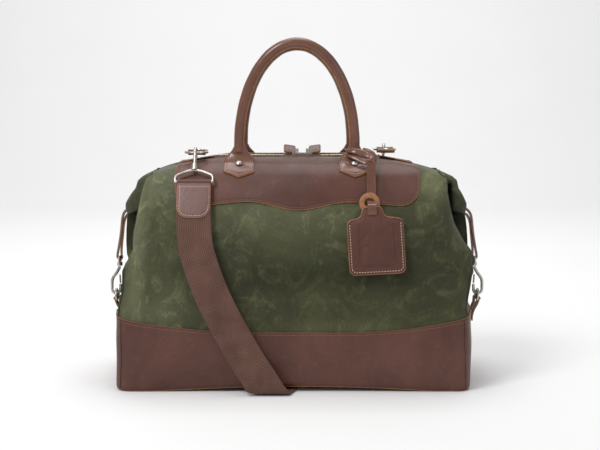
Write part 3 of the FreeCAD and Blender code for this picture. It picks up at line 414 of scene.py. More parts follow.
def stitches(name, runs, material=None, body="root", *, pitch, length=3.3, radius=0.42):
    """Rows of thread. Each run is (points, normals) of a line lying on the surface."""
    points, faces = [], []
    sides = 6
    spin = np.linspace(0, 2 * math.pi, sides, endpoint=False)
    # along the stitch in lengths, then thickness and lift in radii
    rings = ((-0.5, 0.35, -0.7), (-0.38, 0.85, -0.1), (0.0, 1.0, 0.15), (0.38, 0.85, -0.1), (0.5, 0.35, -0.7))
    for line, normals in runs:
        line, normals = np.asarray(line, float), np.asarray(normals, float)
        both = resample(np.hstack([line, normals]), 0.5)[0]
        travelled = np.concatenate([[0], np.cumsum(np.linalg.norm(np.diff(both[:, :3], axis=0), axis=1))])
        centres = np.arange(pitch / 2, travelled[-1] - pitch / 4, pitch)
        direction = unit(np.gradient(both[:, :3], axis=0))
        for centre in centres:
            i = int(np.searchsorted(travelled, centre))
            base, normal, way = both[i, :3], unit(both[i, 3:]), direction[i]
            across = unit(np.cross(way, normal))
            start = len(points)
            for shift, swell, lift in rings:
                middle = base + way * shift * length + normal * lift * radius
                for angle in spin:
                    outwards = across * math.cos(angle) + normal * math.sin(angle)
                    points.append(middle + outwards * radius * swell)
            faces += [tuple(start + k for k in face) for face in tube_faces(len(rings), sides)]
    return make(name, points, faces, [material or THREAD], body)


def inset(outline, distance):
    """A closed plane outline moved inwards. It runs anticlockwise."""
    outline = np.asarray(outline, float)
    way = unit(np.roll(outline, -1, 0) - np.roll(outline, 1, 0))
    return outline + np.stack([-way[:, 1], way[:, 0]], 1) * distance


def rounded(corners, radii, steps=7):
    """A closed outline of straight sides with rounded corners, anticlockwise."""
    out = []
    corners = np.asarray(corners, float)
    radii = np.broadcast_to(radii, len(corners))
    for i, corner in enumerate(corners):
        before, after = unit(corners[i - 1] - corner), unit(corners[(i + 1) % len(corners)] - corner)
        half = math.acos(np.clip(before @ after, -1, 1)) / 2
        reach = radii[i] / math.tan(half)
        first, last = corner + before * reach, corner + after * reach
        for s in np.linspace(0, 1, steps):
            out.append((1 - s) ** 2 * first + 2 * s * (1 - s) * corner + s ** 2 * last)
    return np.array(out)


def plane_place(origin, right, up):
    """A placing function for flat pieces: plane coordinates and height to space."""
    origin, right, up = (np.asarray(v, float) for v in (origin, right, up))
    right, up = unit(right), unit(up)
    facing = np.cross(right, up)

    def place(u, v, height):
        return origin + u[..., None] * right + v[..., None] * up + height[..., None] * facing

    return place


def plate(name, outline, place, thick, materials, body="root", crown=0.0, groove=0.0, fine=5, parallel=False):
    """A cut piece of leather: rounded raw edges, a stitched groove and a padded middle."""
    outline = np.asarray(outline, float)
    even = resample(np.vstack([outline, outline[:1]]), 1.6)[0][:-1]
    centre = even.mean(0)
    insets = (0.0, 1.05, 1.5, 2.2, 2.9, 3.6, 4.3, 5.6, 7.5)
    heights = (-1.05, -0.12, 0.0, 0.0, -0.5 * groove, -groove, -0.5 * groove, 0.0, 0.0)
    reach = np.linalg.norm(even - centre, axis=1).min()
    used = [k for k, d in enumerate(insets) if d < 0.7 * reach]
    rings, levels = [], []
    for k in used:
        if parallel or insets[k] <= 2.2:
            rings.append(inset(even, insets[k]))
        else:
            rings.append(centre + (rings[3] - centre) * (1 - (insets[k] - 2.2) / reach))
        levels.append(np.full(len(even), heights[k] + crown * min(insets[k] / 9.0, 1.0) ** 0.7))
    last, level = rings[-1], levels[-1][0]
    for t in np.linspace(1, 0, fine + 1)[1:-1]:
        rings.append(centre + (last - centre) * t)
        levels.append(np.full(len(even), level + (crown * 1.15 - level) * (1 - t ** 2)))
    n = len(even)
    flat = np.vstack(rings)
    height = np.concatenate(levels)
    points = [place(flat[:, 0], flat[:, 1], height)]
    faces = grid_faces(len(rings), n, True)
    indices = [1] * n + [0] * (len(faces) - n)
    middle = len(flat)
    points.append(place(centre[None, 0], centre[None, 1], np.array([crown * 1.15])))
    ring = (len(rings) - 1) * n
    faces += [(ring + j, ring + (j + 1) % n, middle) for j in range(n)]
    indices += [0] * n
    start = middle + 1
    points.append(place(even[:, 0], even[:, 1], np.full(n, min(0.4 - thick, -1.1))))
    points.append(place(rings[1][:, 0], rings[1][:, 1], np.full(n, -thick)))
    for j in range(n):
        k = (j + 1) % n
        faces += [(k, j, start + j, start + k), (start + k, start + j, start + n + j, start + n + k)]
        indices += [1, 1]
    points.append(place(centre[None, 0], centre[None, 1], np.array([-thick])))
    under = start + 2 * n
    faces += [(start + n + (j + 1) % n, start + n + j, under) for j in range(n)]
    indices += [0] * n
    return make(name, np.vstack(points), faces, materials, body, indices)


STITCH_IN = 3.6  # from a cut edge to its row of stitches


# ---------------------------------------------------------------- shoulder strap
# metres, because the cord declaration uses them: from the left hook, under the bag, to the right hook
STRAP_ROUTE = [
    (-0.150, -0.1012, 0.296), (-0.1495, -0.129, 0.2296), (-0.139, -0.137, 0.190),
    (-0.120, -0.142, 0.140), (-0.097, -0.144, 0.096), (-0.075, -0.147, 0.057),
    (-0.053, -0.152, 0.024), (-0.039, -0.155, 0.0018), (-0.024, -0.110, 0.0016),
    (-0.005, -0.055, 0.0017), (0.015, 0.0, 0.0016), (0.035, 0.058, 0.0017),
    (0.056, 0.112, 0.0016), (0.074, 0.156, 0.0018), (0.082, 0.154, 0.025),
    (0.092, 0.149, 0.062), (0.103, 0.146, 0.103), (0.122, 0.142, 0.188),
    (0.1365, 0.129, 0.2296), (0.137, 0.1012, 0.296),
]


def nurbs_line(points):
    """Points along the smooth curve that a cord's route describes."""
    curve = bpy.data.curves.new("route", "CURVE")
    curve.dimensions = "3D"
    curve.resolution_u = 16
    spline = curve.splines.new("NURBS")
    spline.points.add(len(points) - 1)
    for made, point in zip(spline.points, points):
        made.co = (*point, 1.0)
    spline.order_u = 3
    spline.use_endpoint_u = True
    holder = bpy.data.objects.new("route", curve)
    mesh = bpy.data.meshes.new_from_object(holder)
    line = np.array([v.co for v in mesh.vertices])
    bpy.data.objects.remove(holder)
    return line


route_line = nurbs_line(STRAP_ROUTE)
strap_line, strap_way, strap_along = resample(route_line / MM, 4.0)


def build_webbing():
    """The strap's woven ribbon, level across its width, thinning at its edges."""
    half, thick = 25.0, 1.1
    across = np.linspace(-1, 1, 13)
    profile = [(a, thick * (1.0 if abs(a) < 0.93 else 0.35)) for a in across]
    profile += [(a, -h) for a, h in profile[::-1]]
    level = np.array([1.0, 0, 0])
    widen = 1 / np.sqrt(1 - strap_way[:, 0] ** 2)
    normal = unit(np.cross(strap_way, level))
    points, uvs = [], []
    for point, wide, out, far in zip(strap_line, widen, normal, strap_along):
        for a, h in profile:
            points.append(point + level * a * half * wide + out * h)
            uvs.append((a * half, far))
    made = make("webbing", points, tube_faces(len(strap_line), len(profile)), [WEBBING], uvs=uvs)
    return stands_for(made, "webbing", "strap_webbing")


webbing = build_webbing()

STATIONS = {"left": (np.array([-150.0, 0, 0]), 1), "right": (np.array([137.0, 0, 0]), -1)}


def at_station(name, points):
    """Moves points drawn at the front left station to where they belong."""
    shift, way = STATIONS[name]
    return np.asarray(points, float) * (way, way, 1) + shift


def build_strap_end(name):
    """Leather folded over the hook's bar and sewn round the end of the webbing."""
    bar = np.array([0, -97.0, 306.0])
    down = unit(np.array([0, -18.0, -43.0]))
    out = np.array([0, down[2], -down[1]])
    length, half, gap = 56.0, 25.0, 3.15
    outline = rounded([(-half, -2), (-half, -length), (half, -length), (half, -2)], [3, 20, 20, 3], 12)
    way = STATIONS[name][1]
    made = []
    for label, sign in (("face", 1), ("back", -1)):
        def place(u, v, height):
            spot = (bar + u[..., None] * (1, 0, 0) * sign - v[..., None] * down
                    + (gap - 0.4 + height[..., None]) * out * sign)
            return at_station(name, spot)
        made.append(plate(f"strap_end_{name}_{label}", outline, place, 1.7, [SHEEN_LEATHER, EDGE],
                          crown=0.7, groove=0.35))
        line = inset(outline, STITCH_IN)
        low = line[line[:, 1] < -10.5]
        row = np.array([(x, -8.8) for x in np.linspace(-half + STITCH_IN, half - STITCH_IN, 20)])
        runs = []
        for path in (low, row):
            spots = place(path[:, 0], path[:, 1], np.full(len(path), 0.35))
            normals = np.broadcast_to(out * sign * (way, way, 1), spots.shape)
            runs.append((spots, normals))
        made.append(stitches(f"strap_end_{name}_{label}_thread", runs, CREAM_THREAD, pitch=3.9, length=2.8,
                             radius=0.5))
    path = []
    for angle in np.linspace(-0.35, math.pi + 0.35, 15):
        path.append(bar + (math.cos(angle) * out - math.sin(angle) * down) * 3.3)
    path = [bar + out * 2.6 + down * 7] + path + [bar - out * 2.6 + down * 7]
    points = np.array([[p + (x, 0, 0) for x in np.linspace(-half, half, 11)] for p in path])
    fold = make(f"strap_end_{name}_fold", at_station(name, points.reshape(-1, 3)), grid_faces(len(path), 11),
                [LEATHER, EDGE])
    made.append(thicken(fold, 1.8))
    inner = rounded([(-half + 1, -12), (-half + 1, -length + 1), (half - 1, -length + 1), (half - 1, -12)],
                    [1, 20, 20, 1], 12)
    core = plate(f"strap_end_{name}_core", inner,
                 lambda u, v, h: at_station(name, bar + u[..., None] * (1, 0, 0) - v[..., None] * down
                                            + (h[..., None] + 1.2) * out), 2.4, [EDGE, EDGE])
    made.append(core)
    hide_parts(f"strap_end_{name}")
    return made


strap_pieces = build_strap_end("left") + build_strap_end("right")


# ---------------------------------------------------------------- the bag's outer form
# height, half length, half depth, corner radius, bulge of the ends
SECTIONS = np.array([
    (0, 252, 122, 20, 6), (6, 255, 126, 24, 7), (60, 257, 128, 26, 9), (110, 256, 126, 28, 9),
    (158, 257, 123, 30, 7), (176, 257, 121, 30, 6), (193, 250.5, 119, 30, 6), (207, 248, 117, 29, 5),
    (218, 245.5, 115, 28, 5), (232, 242, 113, 28, 4), (248, 237, 110, 28, 3), (265, 232.5, 106, 27, 3),
    (280, 230.8, 101, 25, 2), (291, 229.3, 97, 25, 2), (303, 228.2, 91, 24, 2), (311, 225.4, 86, 22, 1),
    (317, 219, 82, 21, 1), (322, 208, 76, 20, 1), (326, 194, 70, 19, 1), (330, 174, 64, 18, 1),
    (334, 152, 54, 16, 1), (338, 130, 38, 12, 1), (343, 100, 12, 6, 1),
], float)
# height, and how far out the seam between a panel and an end runs
SEAM = np.array([(-20, 250), (0, 251), (60, 256), (110, 255), (158, 256), (176, 256), (193, 249.5), (207, 247),
                 (218, 244.5), (232, 241), (248, 236), (265, 231.5), (280, 229.8), (291, 228.3), (303, 227.2),
                 (311, 224.6), (316, 219.5), (343, 214)], float)
# painted light on the panels where they swell towards the light: x, height, half width, half height, how much
# paler (a gain below zero paints shade)
PAINTED_LIGHT_SPOTS = [(-233, 220, 13, 130, 0.9), (-200, 116, 48, 30, 0.7), (-190, 298, 40, 24, 0.9),
           (10, 258, 120, 38, 0.95), (203, 298, 24, 26, 1.1), (240, 236, 12, 30, 0.8),
           (10, 170, 150, 20, -0.3), (60, 94, 80, 13, 0.5)]
# height, and how far each end slumps outwards
SETTLE = {
    -1: np.array([(0, 13), (60, 11.5), (110, 11), (123, 9), (148, 2), (173, 0), (185, 0), (196, -3),
                  (207, -6), (218, -3), (232, 0), (256, 3), (283, 3), (305, 1), (330, 1), (343, 0)], float),
    1: np.array([(0, 2), (60, -0.5), (110, -2), (121, -6), (138, -5), (148, -3), (168, 1), (183, 7),
                 (196, 13), (205, 11), (218, 4), (232, 0), (244, -3), (290, -3), (305, -1), (343, 0)], float),
}
# height, and how far out the folded end's middle ridge stands
CREST = np.array([(175, 262), (190, 264), (205, 265), (228, 265), (243, 264), (251, 262), (259, 264),
                  (267, 263.5), (273, 260.5), (279, 257), (285, 253), (291, 248.5), (303, 245), (309, 238),
                  (313, 229), (318, 216)], float)


def monotone(x, y, at):
    """Smooth interpolation that never overshoots its rows."""
    step = np.diff(x)
    slope = np.diff(y) / step
    lean = np.concatenate([[slope[0]], np.zeros(len(x) - 2), [slope[-1]]])
    same = slope[:-1] * slope[1:] > 0
    lean[1:-1][same] = (2 * slope[:-1] * slope[1:])[same] / (slope[:-1] + slope[1:])[same]
    i = np.clip(np.searchsorted(x, at) - 1, 0, len(x) - 2)
    s = np.clip((at - x[i]) / step[i], 0, 1)
    return ((2 * s ** 3 - 3 * s ** 2 + 1) * y[i] + (s ** 3 - 2 * s ** 2 + s) * step[i] * lean[i]
            + (3 * s ** 2 - 2 * s ** 3) * y[i + 1] + (s ** 3 - s ** 2) * step[i] * lean[i + 1])


def ease(t):
    """0 to 1 with a soft start and stop."""
    return t * t * (3 - 2 * t)


def settled(points):
    """The points with the bag's two ends slumped as they stand: each its own way, firm in the middle."""
    x, y, z = points[..., 0], points[..., 1], points[..., 2]
    far = np.clip((np.abs(x) - 150) / 80.0, 0, 1)
    off = np.clip((np.abs(y) - 15) / 50.0, 0, 1)
    shift = np.where(x < 0, np.interp(z, *SETTLE[-1].T), np.interp(z, *SETTLE[1].T))
    moved = points.copy()
    moved[..., 0] += np.sign(x) * shift * ease(far) * ease(off)
    return moved


def section(z):
    """Half length, half depth, corner radius and end bulge at heights z."""
    z = np.asarray(z, float)
    return [monotone(SECTIONS[:, 0], SECTIONS[:, k], z) for k in (1, 2, 3, 4)]


def depth_at(x, z):
    """How far the front lies from the middle plane at x and z, or 0 outside the form."""
    half, deep, corner, bulge = section(z)
    x = np.abs(x)
    inner = half - corner
    arc = deep - corner + np.sqrt(np.clip(corner ** 2 - np.clip(x - inner, 0, None) ** 2, 0, None))
    end = (deep - corner) * np.sqrt(np.clip(1 - (x - half) / bulge, 0, 1))
    return np.where(x <= inner, deep, np.where(x <= half, arc, end))


def end_at(y, z):
    """How far an end lies from the middle at y and z."""
    half, deep, corner, bulge = section(z)
    y = np.abs(y)
    straight = deep - corner
    arc = half - corner + np.sqrt(np.clip(corner ** 2 - np.clip(y - straight, 0, None) ** 2, 0, None))
    return np.where(y <= straight, half + bulge * (1 - (y / straight) ** 2), arc)


random = np.random.default_rng(11)
WAVES = []
for length, tall in ((230, 1.5), (150, 1.1), (95, 0.7), (60, 0.35)):
    for _ in range(5):
        WAVES.append((unit(random.normal(size=3)) * 2 * math.pi / length, random.uniform(0, 6.3), tall * 0.6))


def relief(points):
    """Slow hollows and swells shared by every layer of the bag."""
    total = np.zeros(points.shape[:-1])
    for way, phase, tall in WAVES:
        total += tall * np.sin(points @ way + phase)
    fade = np.clip(points[..., 2] / 70.0, 0, 1) * np.clip((346 - points[..., 2]) / 40.0, 0.1, 1)
    return total * fade * 0.8 - 0.8


class Skin:
    """The bag's upper form sliced across its length. v runs down a side from the ridge."""

    STEP_X, STEP_V = 4.0, 2.0

    def __init__(self):
        self.x = np.arange(-254, 254.1, self.STEP_X)
        self.v = np.arange(0, 441.0, self.STEP_V)
        heights = np.arange(0, 343.01, 0.25)
        half, _, _, bulge = section(heights)
        reach = half + bulge
        spots = []
        for x in self.x:
            top = heights[reach >= abs(x)].max()
            z = np.concatenate([np.linspace(0, top - 6, 300), top - 6 * (1 - np.linspace(0, 1, 80)[1:]) ** 2])
            y = depth_at(x, z)
            y[-1] = 0
            both = np.vstack([np.stack([y, z], 1), np.stack([-y, z], 1)[::-1][1:]])
            even = resample(both, 1.0)[0]
            kernel = np.exp(-0.5 * (np.arange(-14, 15) / 5.0) ** 2)
            kernel /= kernel.sum()
            wide = np.vstack([even[:1].repeat(14, 0), even, even[-1:].repeat(14, 0)])
            even = np.stack([np.convolve(wide[:, k], kernel, "valid") for k in (0, 1)], 1)
            middle = (len(even) - 1) // 2
            run = even[:middle + 1][::-1]
            travelled = np.concatenate([[0], np.cumsum(np.linalg.norm(np.diff(run, axis=0), axis=1))])
            spots.append(np.stack([np.interp(self.v, travelled, run[:, k]) for k in (0, 1)], 1))
        grid = np.array(spots)
        full = np.concatenate([np.broadcast_to(self.x[:, None, None], grid.shape[:2] + (1,)), grid], 2)
        along_x = np.gradient(full, axis=0)
        along_v = np.gradient(full, axis=1)
        along_v[:, 0] = (0, 1, 0)
        self.grid = full
        self.normals = unit(np.cross(along_v, along_x))
        self.normals *= np.sign((self.normals * (0, 1, 1)).sum(-1, keepdims=True) + 1e-9)

    def mixed(self, table, x, v):
        fx = np.clip((x - self.x[0]) / self.STEP_X, 0, len(self.x) - 1.001)
        fv = np.clip(v / self.STEP_V, 0, len(self.v) - 1.001)
        i, j = fx.astype(int), fv.astype(int)
        a, b = (fx - i)[..., None], (fv - j)[..., None]
        return ((1 - a) * (1 - b) * table[i, j] + a * (1 - b) * table[i + 1, j]
                + (1 - a) * b * table[i, j + 1] + a * b * table[i + 1, j + 1])

    def at(self, x, v, lift, side):
        """Point and normal at x and v, on the front (side -1) or the back (side 1)."""
        x, v = np.broadcast_arrays(np.asarray(x, float), np.asarray(v, float))
        point = self.mixed(self.grid, x, v) * (1, side, 1)
        point[..., 0] = x
        normal = unit(self.mixed(self.normals, x, v)) * (1, side, 1)
        near = np.clip(1.35 - v / 28.0, 0, 1) * np.clip((190 - np.abs(x)) / 40.0, 0, 1)
        height = np.asarray(lift) + relief(point) + near * (-4.6 if side < 0 else 0.9)
        return settled(point + normal * height[..., None]), normal

    def down_to(self, x, z):
        """The v at which the side of the bag at x passes height z."""
        x, z = np.broadcast_arrays(np.asarray(x, float), np.asarray(z, float))
        return self.halved(x, 440.0, lambda spots: spots[..., 2] > z)

    def out_to(self, x, y):
        """The v at which the skin at x reaches a distance y from the middle plane."""
        x = np.asarray(x, float)
        return self.halved(x, 150.0, lambda spots: spots[..., 1] < y)

    def halved(self, x, far, short):
        """The v, between 0 and far, at which a test of the skin's point stops being true."""
        low, high = np.zeros(x.shape), np.full(x.shape, far)
        for _ in range(24):
            middle = (low + high) / 2
            before = short(self.mixed(self.grid, x, middle))
            low, high = np.where(before, middle, low), np.where(before, high, middle)
        return (low + high) / 2


skin = Skin()


def seam_at(z):
    return np.interp(z, SEAM[:, 0], SEAM[:, 1])


def boot_top(x):
    """Height of the boot's upper edge: level in the middle, sweeping up to the corners."""
    past = np.clip(np.abs(x) - 60.0, 0, None)
    radius = (198.0 ** 2 + 22.0 ** 2) / 44.0
    return 88.0 + radius - np.sqrt(radius ** 2 - np.minimum(past, 205) ** 2)


def arch(x):
    return 7.0 * np.clip(1 - (np.asarray(x) / 200.0) ** 2, 0, None)


def ring_fractions():
    """Where the columns stand round a section: straights, corners and bowed ends."""
    out = []
    for turn in (0, 1):
        out += [("side", turn, t) for t in np.linspace(-1, 1, 90)]
        out += [("corner", turn, t) for t in np.linspace(0, 1, 12)[1:-1]]
        out += [("end", turn, t) for t in np.linspace(-1, 1, 34)]
        out += [("corner2", turn, t) for t in np.linspace(0, 1, 12)[1:-1]]
    return out


RING = ring_fractions()


def ring_points(z, grow=0.0):
    """The section's outline at one height, anticlockwise seen from above, front first."""
    half, deep, corner, bulge = (float(v) for v in section(z))
    half, deep, corner = half + grow, deep + grow, corner + grow
    inner, straight = half - corner, deep - corner
    out = []
    for kind, turn, t in RING:
        if kind == "side":
            spot = (t * inner, -deep)
        elif kind == "corner":
            angle = -math.pi / 2 + t * math.pi / 2
            spot = (inner + corner * math.cos(angle), -straight + corner * math.sin(angle))
        elif kind == "end":
            spot = (half + bulge * (1 - t ** 2), t * straight)
        else:
            angle = t * math.pi / 2
            spot = (inner + corner * math.cos(angle), straight + corner * math.sin(angle))
        way = 1 - 2 * turn
        out.append((spot[0] * way, spot[1] * way, z))
    return np.array(out)


def boot_grid():
    """Rows of the boot from its foot to its upper edge, and how high each column ends."""
    guide = ring_points(95.0)
    tops = boot_top(guide[:, 0])
    levels = np.array([0, 0.006, 0.02, 0.045, 0.075] + list(np.linspace(0.12, 1, 30)))
    rows = []
    for level in levels:
        heights = tops * level
        low = ring_points(max(float(heights.min()), 0.0))
        high = ring_points(float(heights.max()))
        mixing = (heights - heights.min()) / max(np.ptp(heights), 1e-6)
        out = low * (1 - mixing[:, None]) + high * mixing[:, None]
        out[:, 2] = heights
        rows.append(out)
    grid = np.array(rows)
    ahead = np.roll(grid, -1, 1) - np.roll(grid, 1, 1)
    upward = np.gradient(grid, axis=0)
    normal = unit(np.cross(ahead, upward))
    grid = grid + normal * relief(grid)[..., None]
    grid[..., 2] += arch(grid[..., 0]) * np.clip(1 - grid[..., 2] / 60.0, 0, 1)
    grid[..., 2] = np.maximum(grid[..., 2], 0.0)
    return settled(grid), normal


def build_boot():
    """The leather boot, sewn along its upper edge, with a raised seam at each corner."""
    grid, normal = boot_grid()
    rows, columns = grid.shape[:2]
    made = make("boot", grid.reshape(-1, 3), grid_faces(rows, columns, True), [LEATHER, EDGE])
    thicken(made, 2.2)
    stands_for(made, "leather", "boot_front", "boot_back", "boot_ends")
    line = grid[-2] * 0.62 + grid[-3] * 0.38
    line, ways = (np.vstack([row, row[:1]]) for row in (line, normal[-2]))
    stitches("boot_thread", [(line + ways * 0.1, ways)], pitch=4.2)
    for x in (-247, 247):
        for side in (-1, 1):
            z = np.linspace(4, float(boot_top(x)) - 3, 40)
            y = depth_at(x, z) * side
            path = np.stack([np.full(len(z), x * 1.0), y, z], 1)
            way = unit(np.stack([np.full(len(z), 0.6 * np.sign(x)), np.full(len(z), 0.8 * side), z * 0], 1))
            path = settled(path + way * (relief(path) + 0.3)[:, None])
            corner = ("l" if x < 0 else "r") + ("f" if side < 0 else "b")
            tube(f"boot_seam_{corner}", path, 0.9, [LEATHER], sides=8)


def build_underside():
    """The arched leather base and the board that lies on it."""
    x = np.linspace(-252, 252, 64)
    y = np.linspace(-122, 122, 30)
    across, along = np.meshgrid(y, x)
    corner, half_wide, thick = 20.0, 122.0, 2.2
    past = np.clip(np.abs(along) - 232, 0, None)
    reach = half_wide - np.clip(corner - np.sqrt(np.clip(corner ** 2 - past ** 2, 0, None)), 0, None)
    across = across / half_wide * reach
    points = settled(np.stack([along, across, arch(along) + thick + 0.05], -1))
    faces = turned(grid_faces(len(x), len(y)))
    made = make("underside", points.reshape(-1, 3), faces, [LEATHER, EDGE])
    thicken(made, thick, bevel=0)
    stands_for(made, "leather", "base_panel")
    board = make("board", (points + (0, 0, 5.5)).reshape(-1, 3), faces, [LINING])
    thicken(board, 2.5, rim=0, bevel=0)
    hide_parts("base_board")


build_boot()
build_underside()


# ---------------------------------------------------------------- waxed canvas
def panel_spots(shares, gap, low):
    """Rows of x and v over a panel: down off the ridge, then down the face between its seams."""
    x = shares * seam_at(314.0)
    first = skin.down_to(x, np.full(x.shape, 314.0))
    rows = [np.stack([x, gap + (first - gap) * t], -1) for t in np.linspace(0, 1, 36)]
    for t in np.linspace(0, 1, 80)[1:]:
        z = 314.0 + (low - 314.0) * t
        x = shares * seam_at(z)
        rows.append(np.stack([x, skin.down_to(x, z)], -1))
    return np.array(rows)


def creases(points, share):
    """Fine folds in the canvas, strongest towards the seams and the shoulders."""
    x, y, z = points[..., 0], points[..., 1], points[..., 2]
    lean = x * 0.045 * np.sign(y) + z * 0.02
    fold = np.sin(lean * 2.1 + 1.4 * np.sin(x * 0.017 + z * 0.023) + np.sin(z * 0.05 - x * 0.03))
    pull = np.sin(z * 0.11 + 1.2 * np.sin(x * 0.05) + x * 0.04)
    edge = np.clip((np.abs(share) - 0.62) / 0.38, 0, 1)
    high = np.clip((z - 150) / 120.0, 0, 1)
    return 0.55 * fold + 0.5 * pull * edge * (0.4 + high) - 1.6 * edge ** 6 * 0.4


def painted_panel_light(x, z):
    """Painted light and shade for a panel's colour: paler towards its left end, darker towards its right, and
    paler over the listed swells, darker where a gain is below zero.
    """
    shade = np.interp(x, [-260, -195, -110, 0, 150, 260], [1.2, 1.3, 1.1, 0.95, 0.85, 0.95])
    for middle, height, wide, tall, gain in PAINTED_LIGHT_SPOTS:
        shade = shade + gain * np.exp(-((x - middle) / wide) ** 2 - ((z - height) / tall) ** 2)
    return np.clip(shade, 0.3, 2.6)


def build_panel(side, name):
    """One long canvas panel, from under the boot over the shoulder to the zip."""
    shares = np.sin(np.linspace(-1, 1, 150) * math.pi / 2 * 0.92) / math.sin(math.pi / 2 * 0.92)
    gap = 9.5 * np.clip((0.72 - np.abs(shares)) / 0.06, 0, 1) + 0.2
    spots = panel_spots(shares, gap, boot_top(shares * 246) - 9)
    share = np.broadcast_to(shares, spots.shape[:2])
    base, _ = skin.at(spots[..., 0], spots[..., 1], 0.0, side)
    fade = np.clip((1 - np.abs(share)) / 0.04, 0, 1) * np.clip((spots[..., 1] - 14) / 30, 0, 1)
    lift = -2.3 + creases(base, share) * fade
    under_yoke = (np.abs(spots[..., 0]) < 176) & (base[..., 2] > 272)
    lift = np.where(under_yoke, -2.9, lift)
    points, normals = skin.at(spots[..., 0], spots[..., 1], lift, side)
    faces = turned(grid_faces(*spots.shape[:2]), side < 0)
    # painted light and shade: the panel's colour made paler or darker by where the light falls
    shade = painted_panel_light(points[..., 0] * -side, points[..., 2])
    made = make(f"canvas_panel_{name}", points.reshape(-1, 3), faces, [CANVAS, CANVAS], shade=shade.ravel())
    thicken(made, 1.5, bevel=0)
    stands_for(made, "waxed_canvas", f"canvas_{name}")
    for sign, end in ((-1, 0), (1, -1)):
        path = points[:, end] + normals[:, end] * -0.6
        piping = tube(f"panel_seam_{name}_{'l' if sign < 0 else 'r'}", path, 1.3, [CANVAS], sides=10)


build_panel(-1, "front")
build_panel(1, "back")


def build_gusset(side, name):
    """One end: hollowed behind the seams, with its top pinched into a wing that the strap pulls down, and
    painted light and shade in its colour.
    """
    heights = np.concatenate([np.linspace(84, 180, 24), np.linspace(183, 317.5, 76)])
    shares = np.linspace(-1, 1, 121)
    points = np.zeros((len(heights), len(shares), 3))
    shade = np.ones((len(heights), len(shares)))
    for i, z in enumerate(heights):
        seam = seam_at(z)
        reach = max(float(depth_at(seam, z)), 20.0)
        y = shares * reach
        x = end_at(y, z)
        high = ease(np.clip((z - 168) / 30.0, 0, 1)) * np.clip((322 - z) / 22.0, 0, 1) ** 0.6
        wing = np.clip((z - 247) / 6.0, 0, 1)
        wide = 11 + wing * float(np.interp(z, [250, 262, 285, 300, 319], [16, 26, 36, 34, 24]))
        near = np.exp(-((np.abs(y) - wide - 12 - 4 * (1 - wing)) / 13.0) ** 2)
        deep = np.exp(-((np.abs(y) - 0.5 * (wide + reach)) / (0.5 * (reach - wide))) ** 4)
        x = x - (26.0 - 6 * wing) * high * np.maximum(near, deep * (1 - 0.5 * wing))
        crest = float(np.interp(z, CREST[:, 0], CREST[:, 1]))
        ridge = np.exp(-(np.abs(y) / wide) ** 6)
        grown = np.clip((z - 172) / 14.0, 0, 1)
        x = x + np.maximum(crest - x, 0) * ridge * grown
        x = x + 1.6 * np.sin(y * 0.16 + z * 0.05) * high * (1 - ridge)
        points[i] = np.stack([side * (x - 2.2), y, np.full(len(y), z)], 1)
        # Painted light and shade for this end's colour; hem is the height of the wing's lower rim.
        hem = 251.0 + 0.55 * (260.0 - x)
        # painted shade: the end dark close to its seam, in the slit beside the panel's edge, fading out high
        # up the wing
        out = np.clip((x - seam - (7.0 if side > 0 else 0.5)) / 6.0, 0, 1)
        rise = ease(np.clip((z - 182) / 26.0, 0, 1))
        slit_shade = np.where(z > 246, np.clip((316 - z) / 18.0, 0, 1), 1.0) * rise
        lit = 1 - 0.98 * slit_shade * (1 - ease(out)) * np.clip((np.abs(y) - 4) / 14.0, 0.35, 1)
        # painted light: the wing paler above its hem
        lit = lit * (1 + 0.8 * np.clip((z - 250) / 6.0, 0, 1))
        # painted shade: a dark line along the crease between the wing's two lobes
        fold = 1 - 0.5 * np.exp(-((x - 240.5 + 0.05 * (z - 280)) / 2.2) ** 2) * np.clip((294 - z) / 6.0, 0, 1)
        # painted shade under the wing's hem
        below = 1 - 0.97 * np.clip((hem - z) / 3.0, 0, 1) * rise * np.clip((np.abs(y) - 2) / 16.0, 0.5, 1)
        shade[i] = lit * np.where(z > 262, fold, 1.0) * below
    lift = relief(points) * (np.abs(shares) < 0.999)
    points[..., 0] += side * lift
    shade = np.clip(shade, 0.02, 1)
    made = make(f"gusset_{name}_canvas", settled(points).reshape(-1, 3),
                turned(grid_faces(*points.shape[:2]), side < 0), [CANVAS, CANVAS], shade=shade.ravel())
    thicken(made, 1.5, bevel=0)
    stands_for(made, "waxed_canvas", f"gusset_{name}", f"wing_{name}")


build_gusset(-1, "left")
build_gusset(1, "right")


def build_lining():
    """The cotton lining: a bag inside the bag, and the slip pocket on its back."""
    rows = []
    for z in np.linspace(9, 328, 44):
        ring = ring_points(z, -11.0)
        ring[:, 0] *= 1 - 0.13 * np.clip((z - 150) / 40.0, 0, 1)
        rows.append(ring)
    grid = np.array(rows)
    made = make("lining_bag", grid.reshape(-1, 3), grid_faces(*grid.shape[:2], True), [LINING])
    thicken(made, 1.2, rim=0, bevel=0)
    stands_for(made, "cotton_lining", "lining")
    place = plane_place((0, 108, 150), (-1, 0, 0), (0, 0.03, 1))
    pocket = plate("pocket_leaf", rounded([(-110, -65), (110, -65), (110, 65), (-110, 65)], 8), place, 3.4,
                   [LINING, LINING])
    stands_for(pocket, "cotton_lining", "slip_pocket")


build_lining()


# ---------------------------------------------------------------- leather yoke
YOKE_SHIFT, YOKE_HALF, YOKE_CORNER = 1.5, 180.0, 29.0


def yoke_low(x):
    """Height of the yoke's waved lower edge, turning up round its ends."""
    corner = YOKE_CORNER
    x = np.abs(np.asarray(x, float) - YOKE_SHIFT)
    straight = YOKE_HALF - corner
    turn = 2 * math.pi / 150.0
    near = 271 - 6 * np.cos(turn * x)
    far = 274.5 + 2.5 * np.cos(turn * (np.minimum(x, straight) - 75))
    low = np.where(x < 75, near, far)
    past = np.clip(x - straight, 0, corner)
    return np.where(x > straight, low + corner - np.sqrt(corner ** 2 - past ** 2), low)


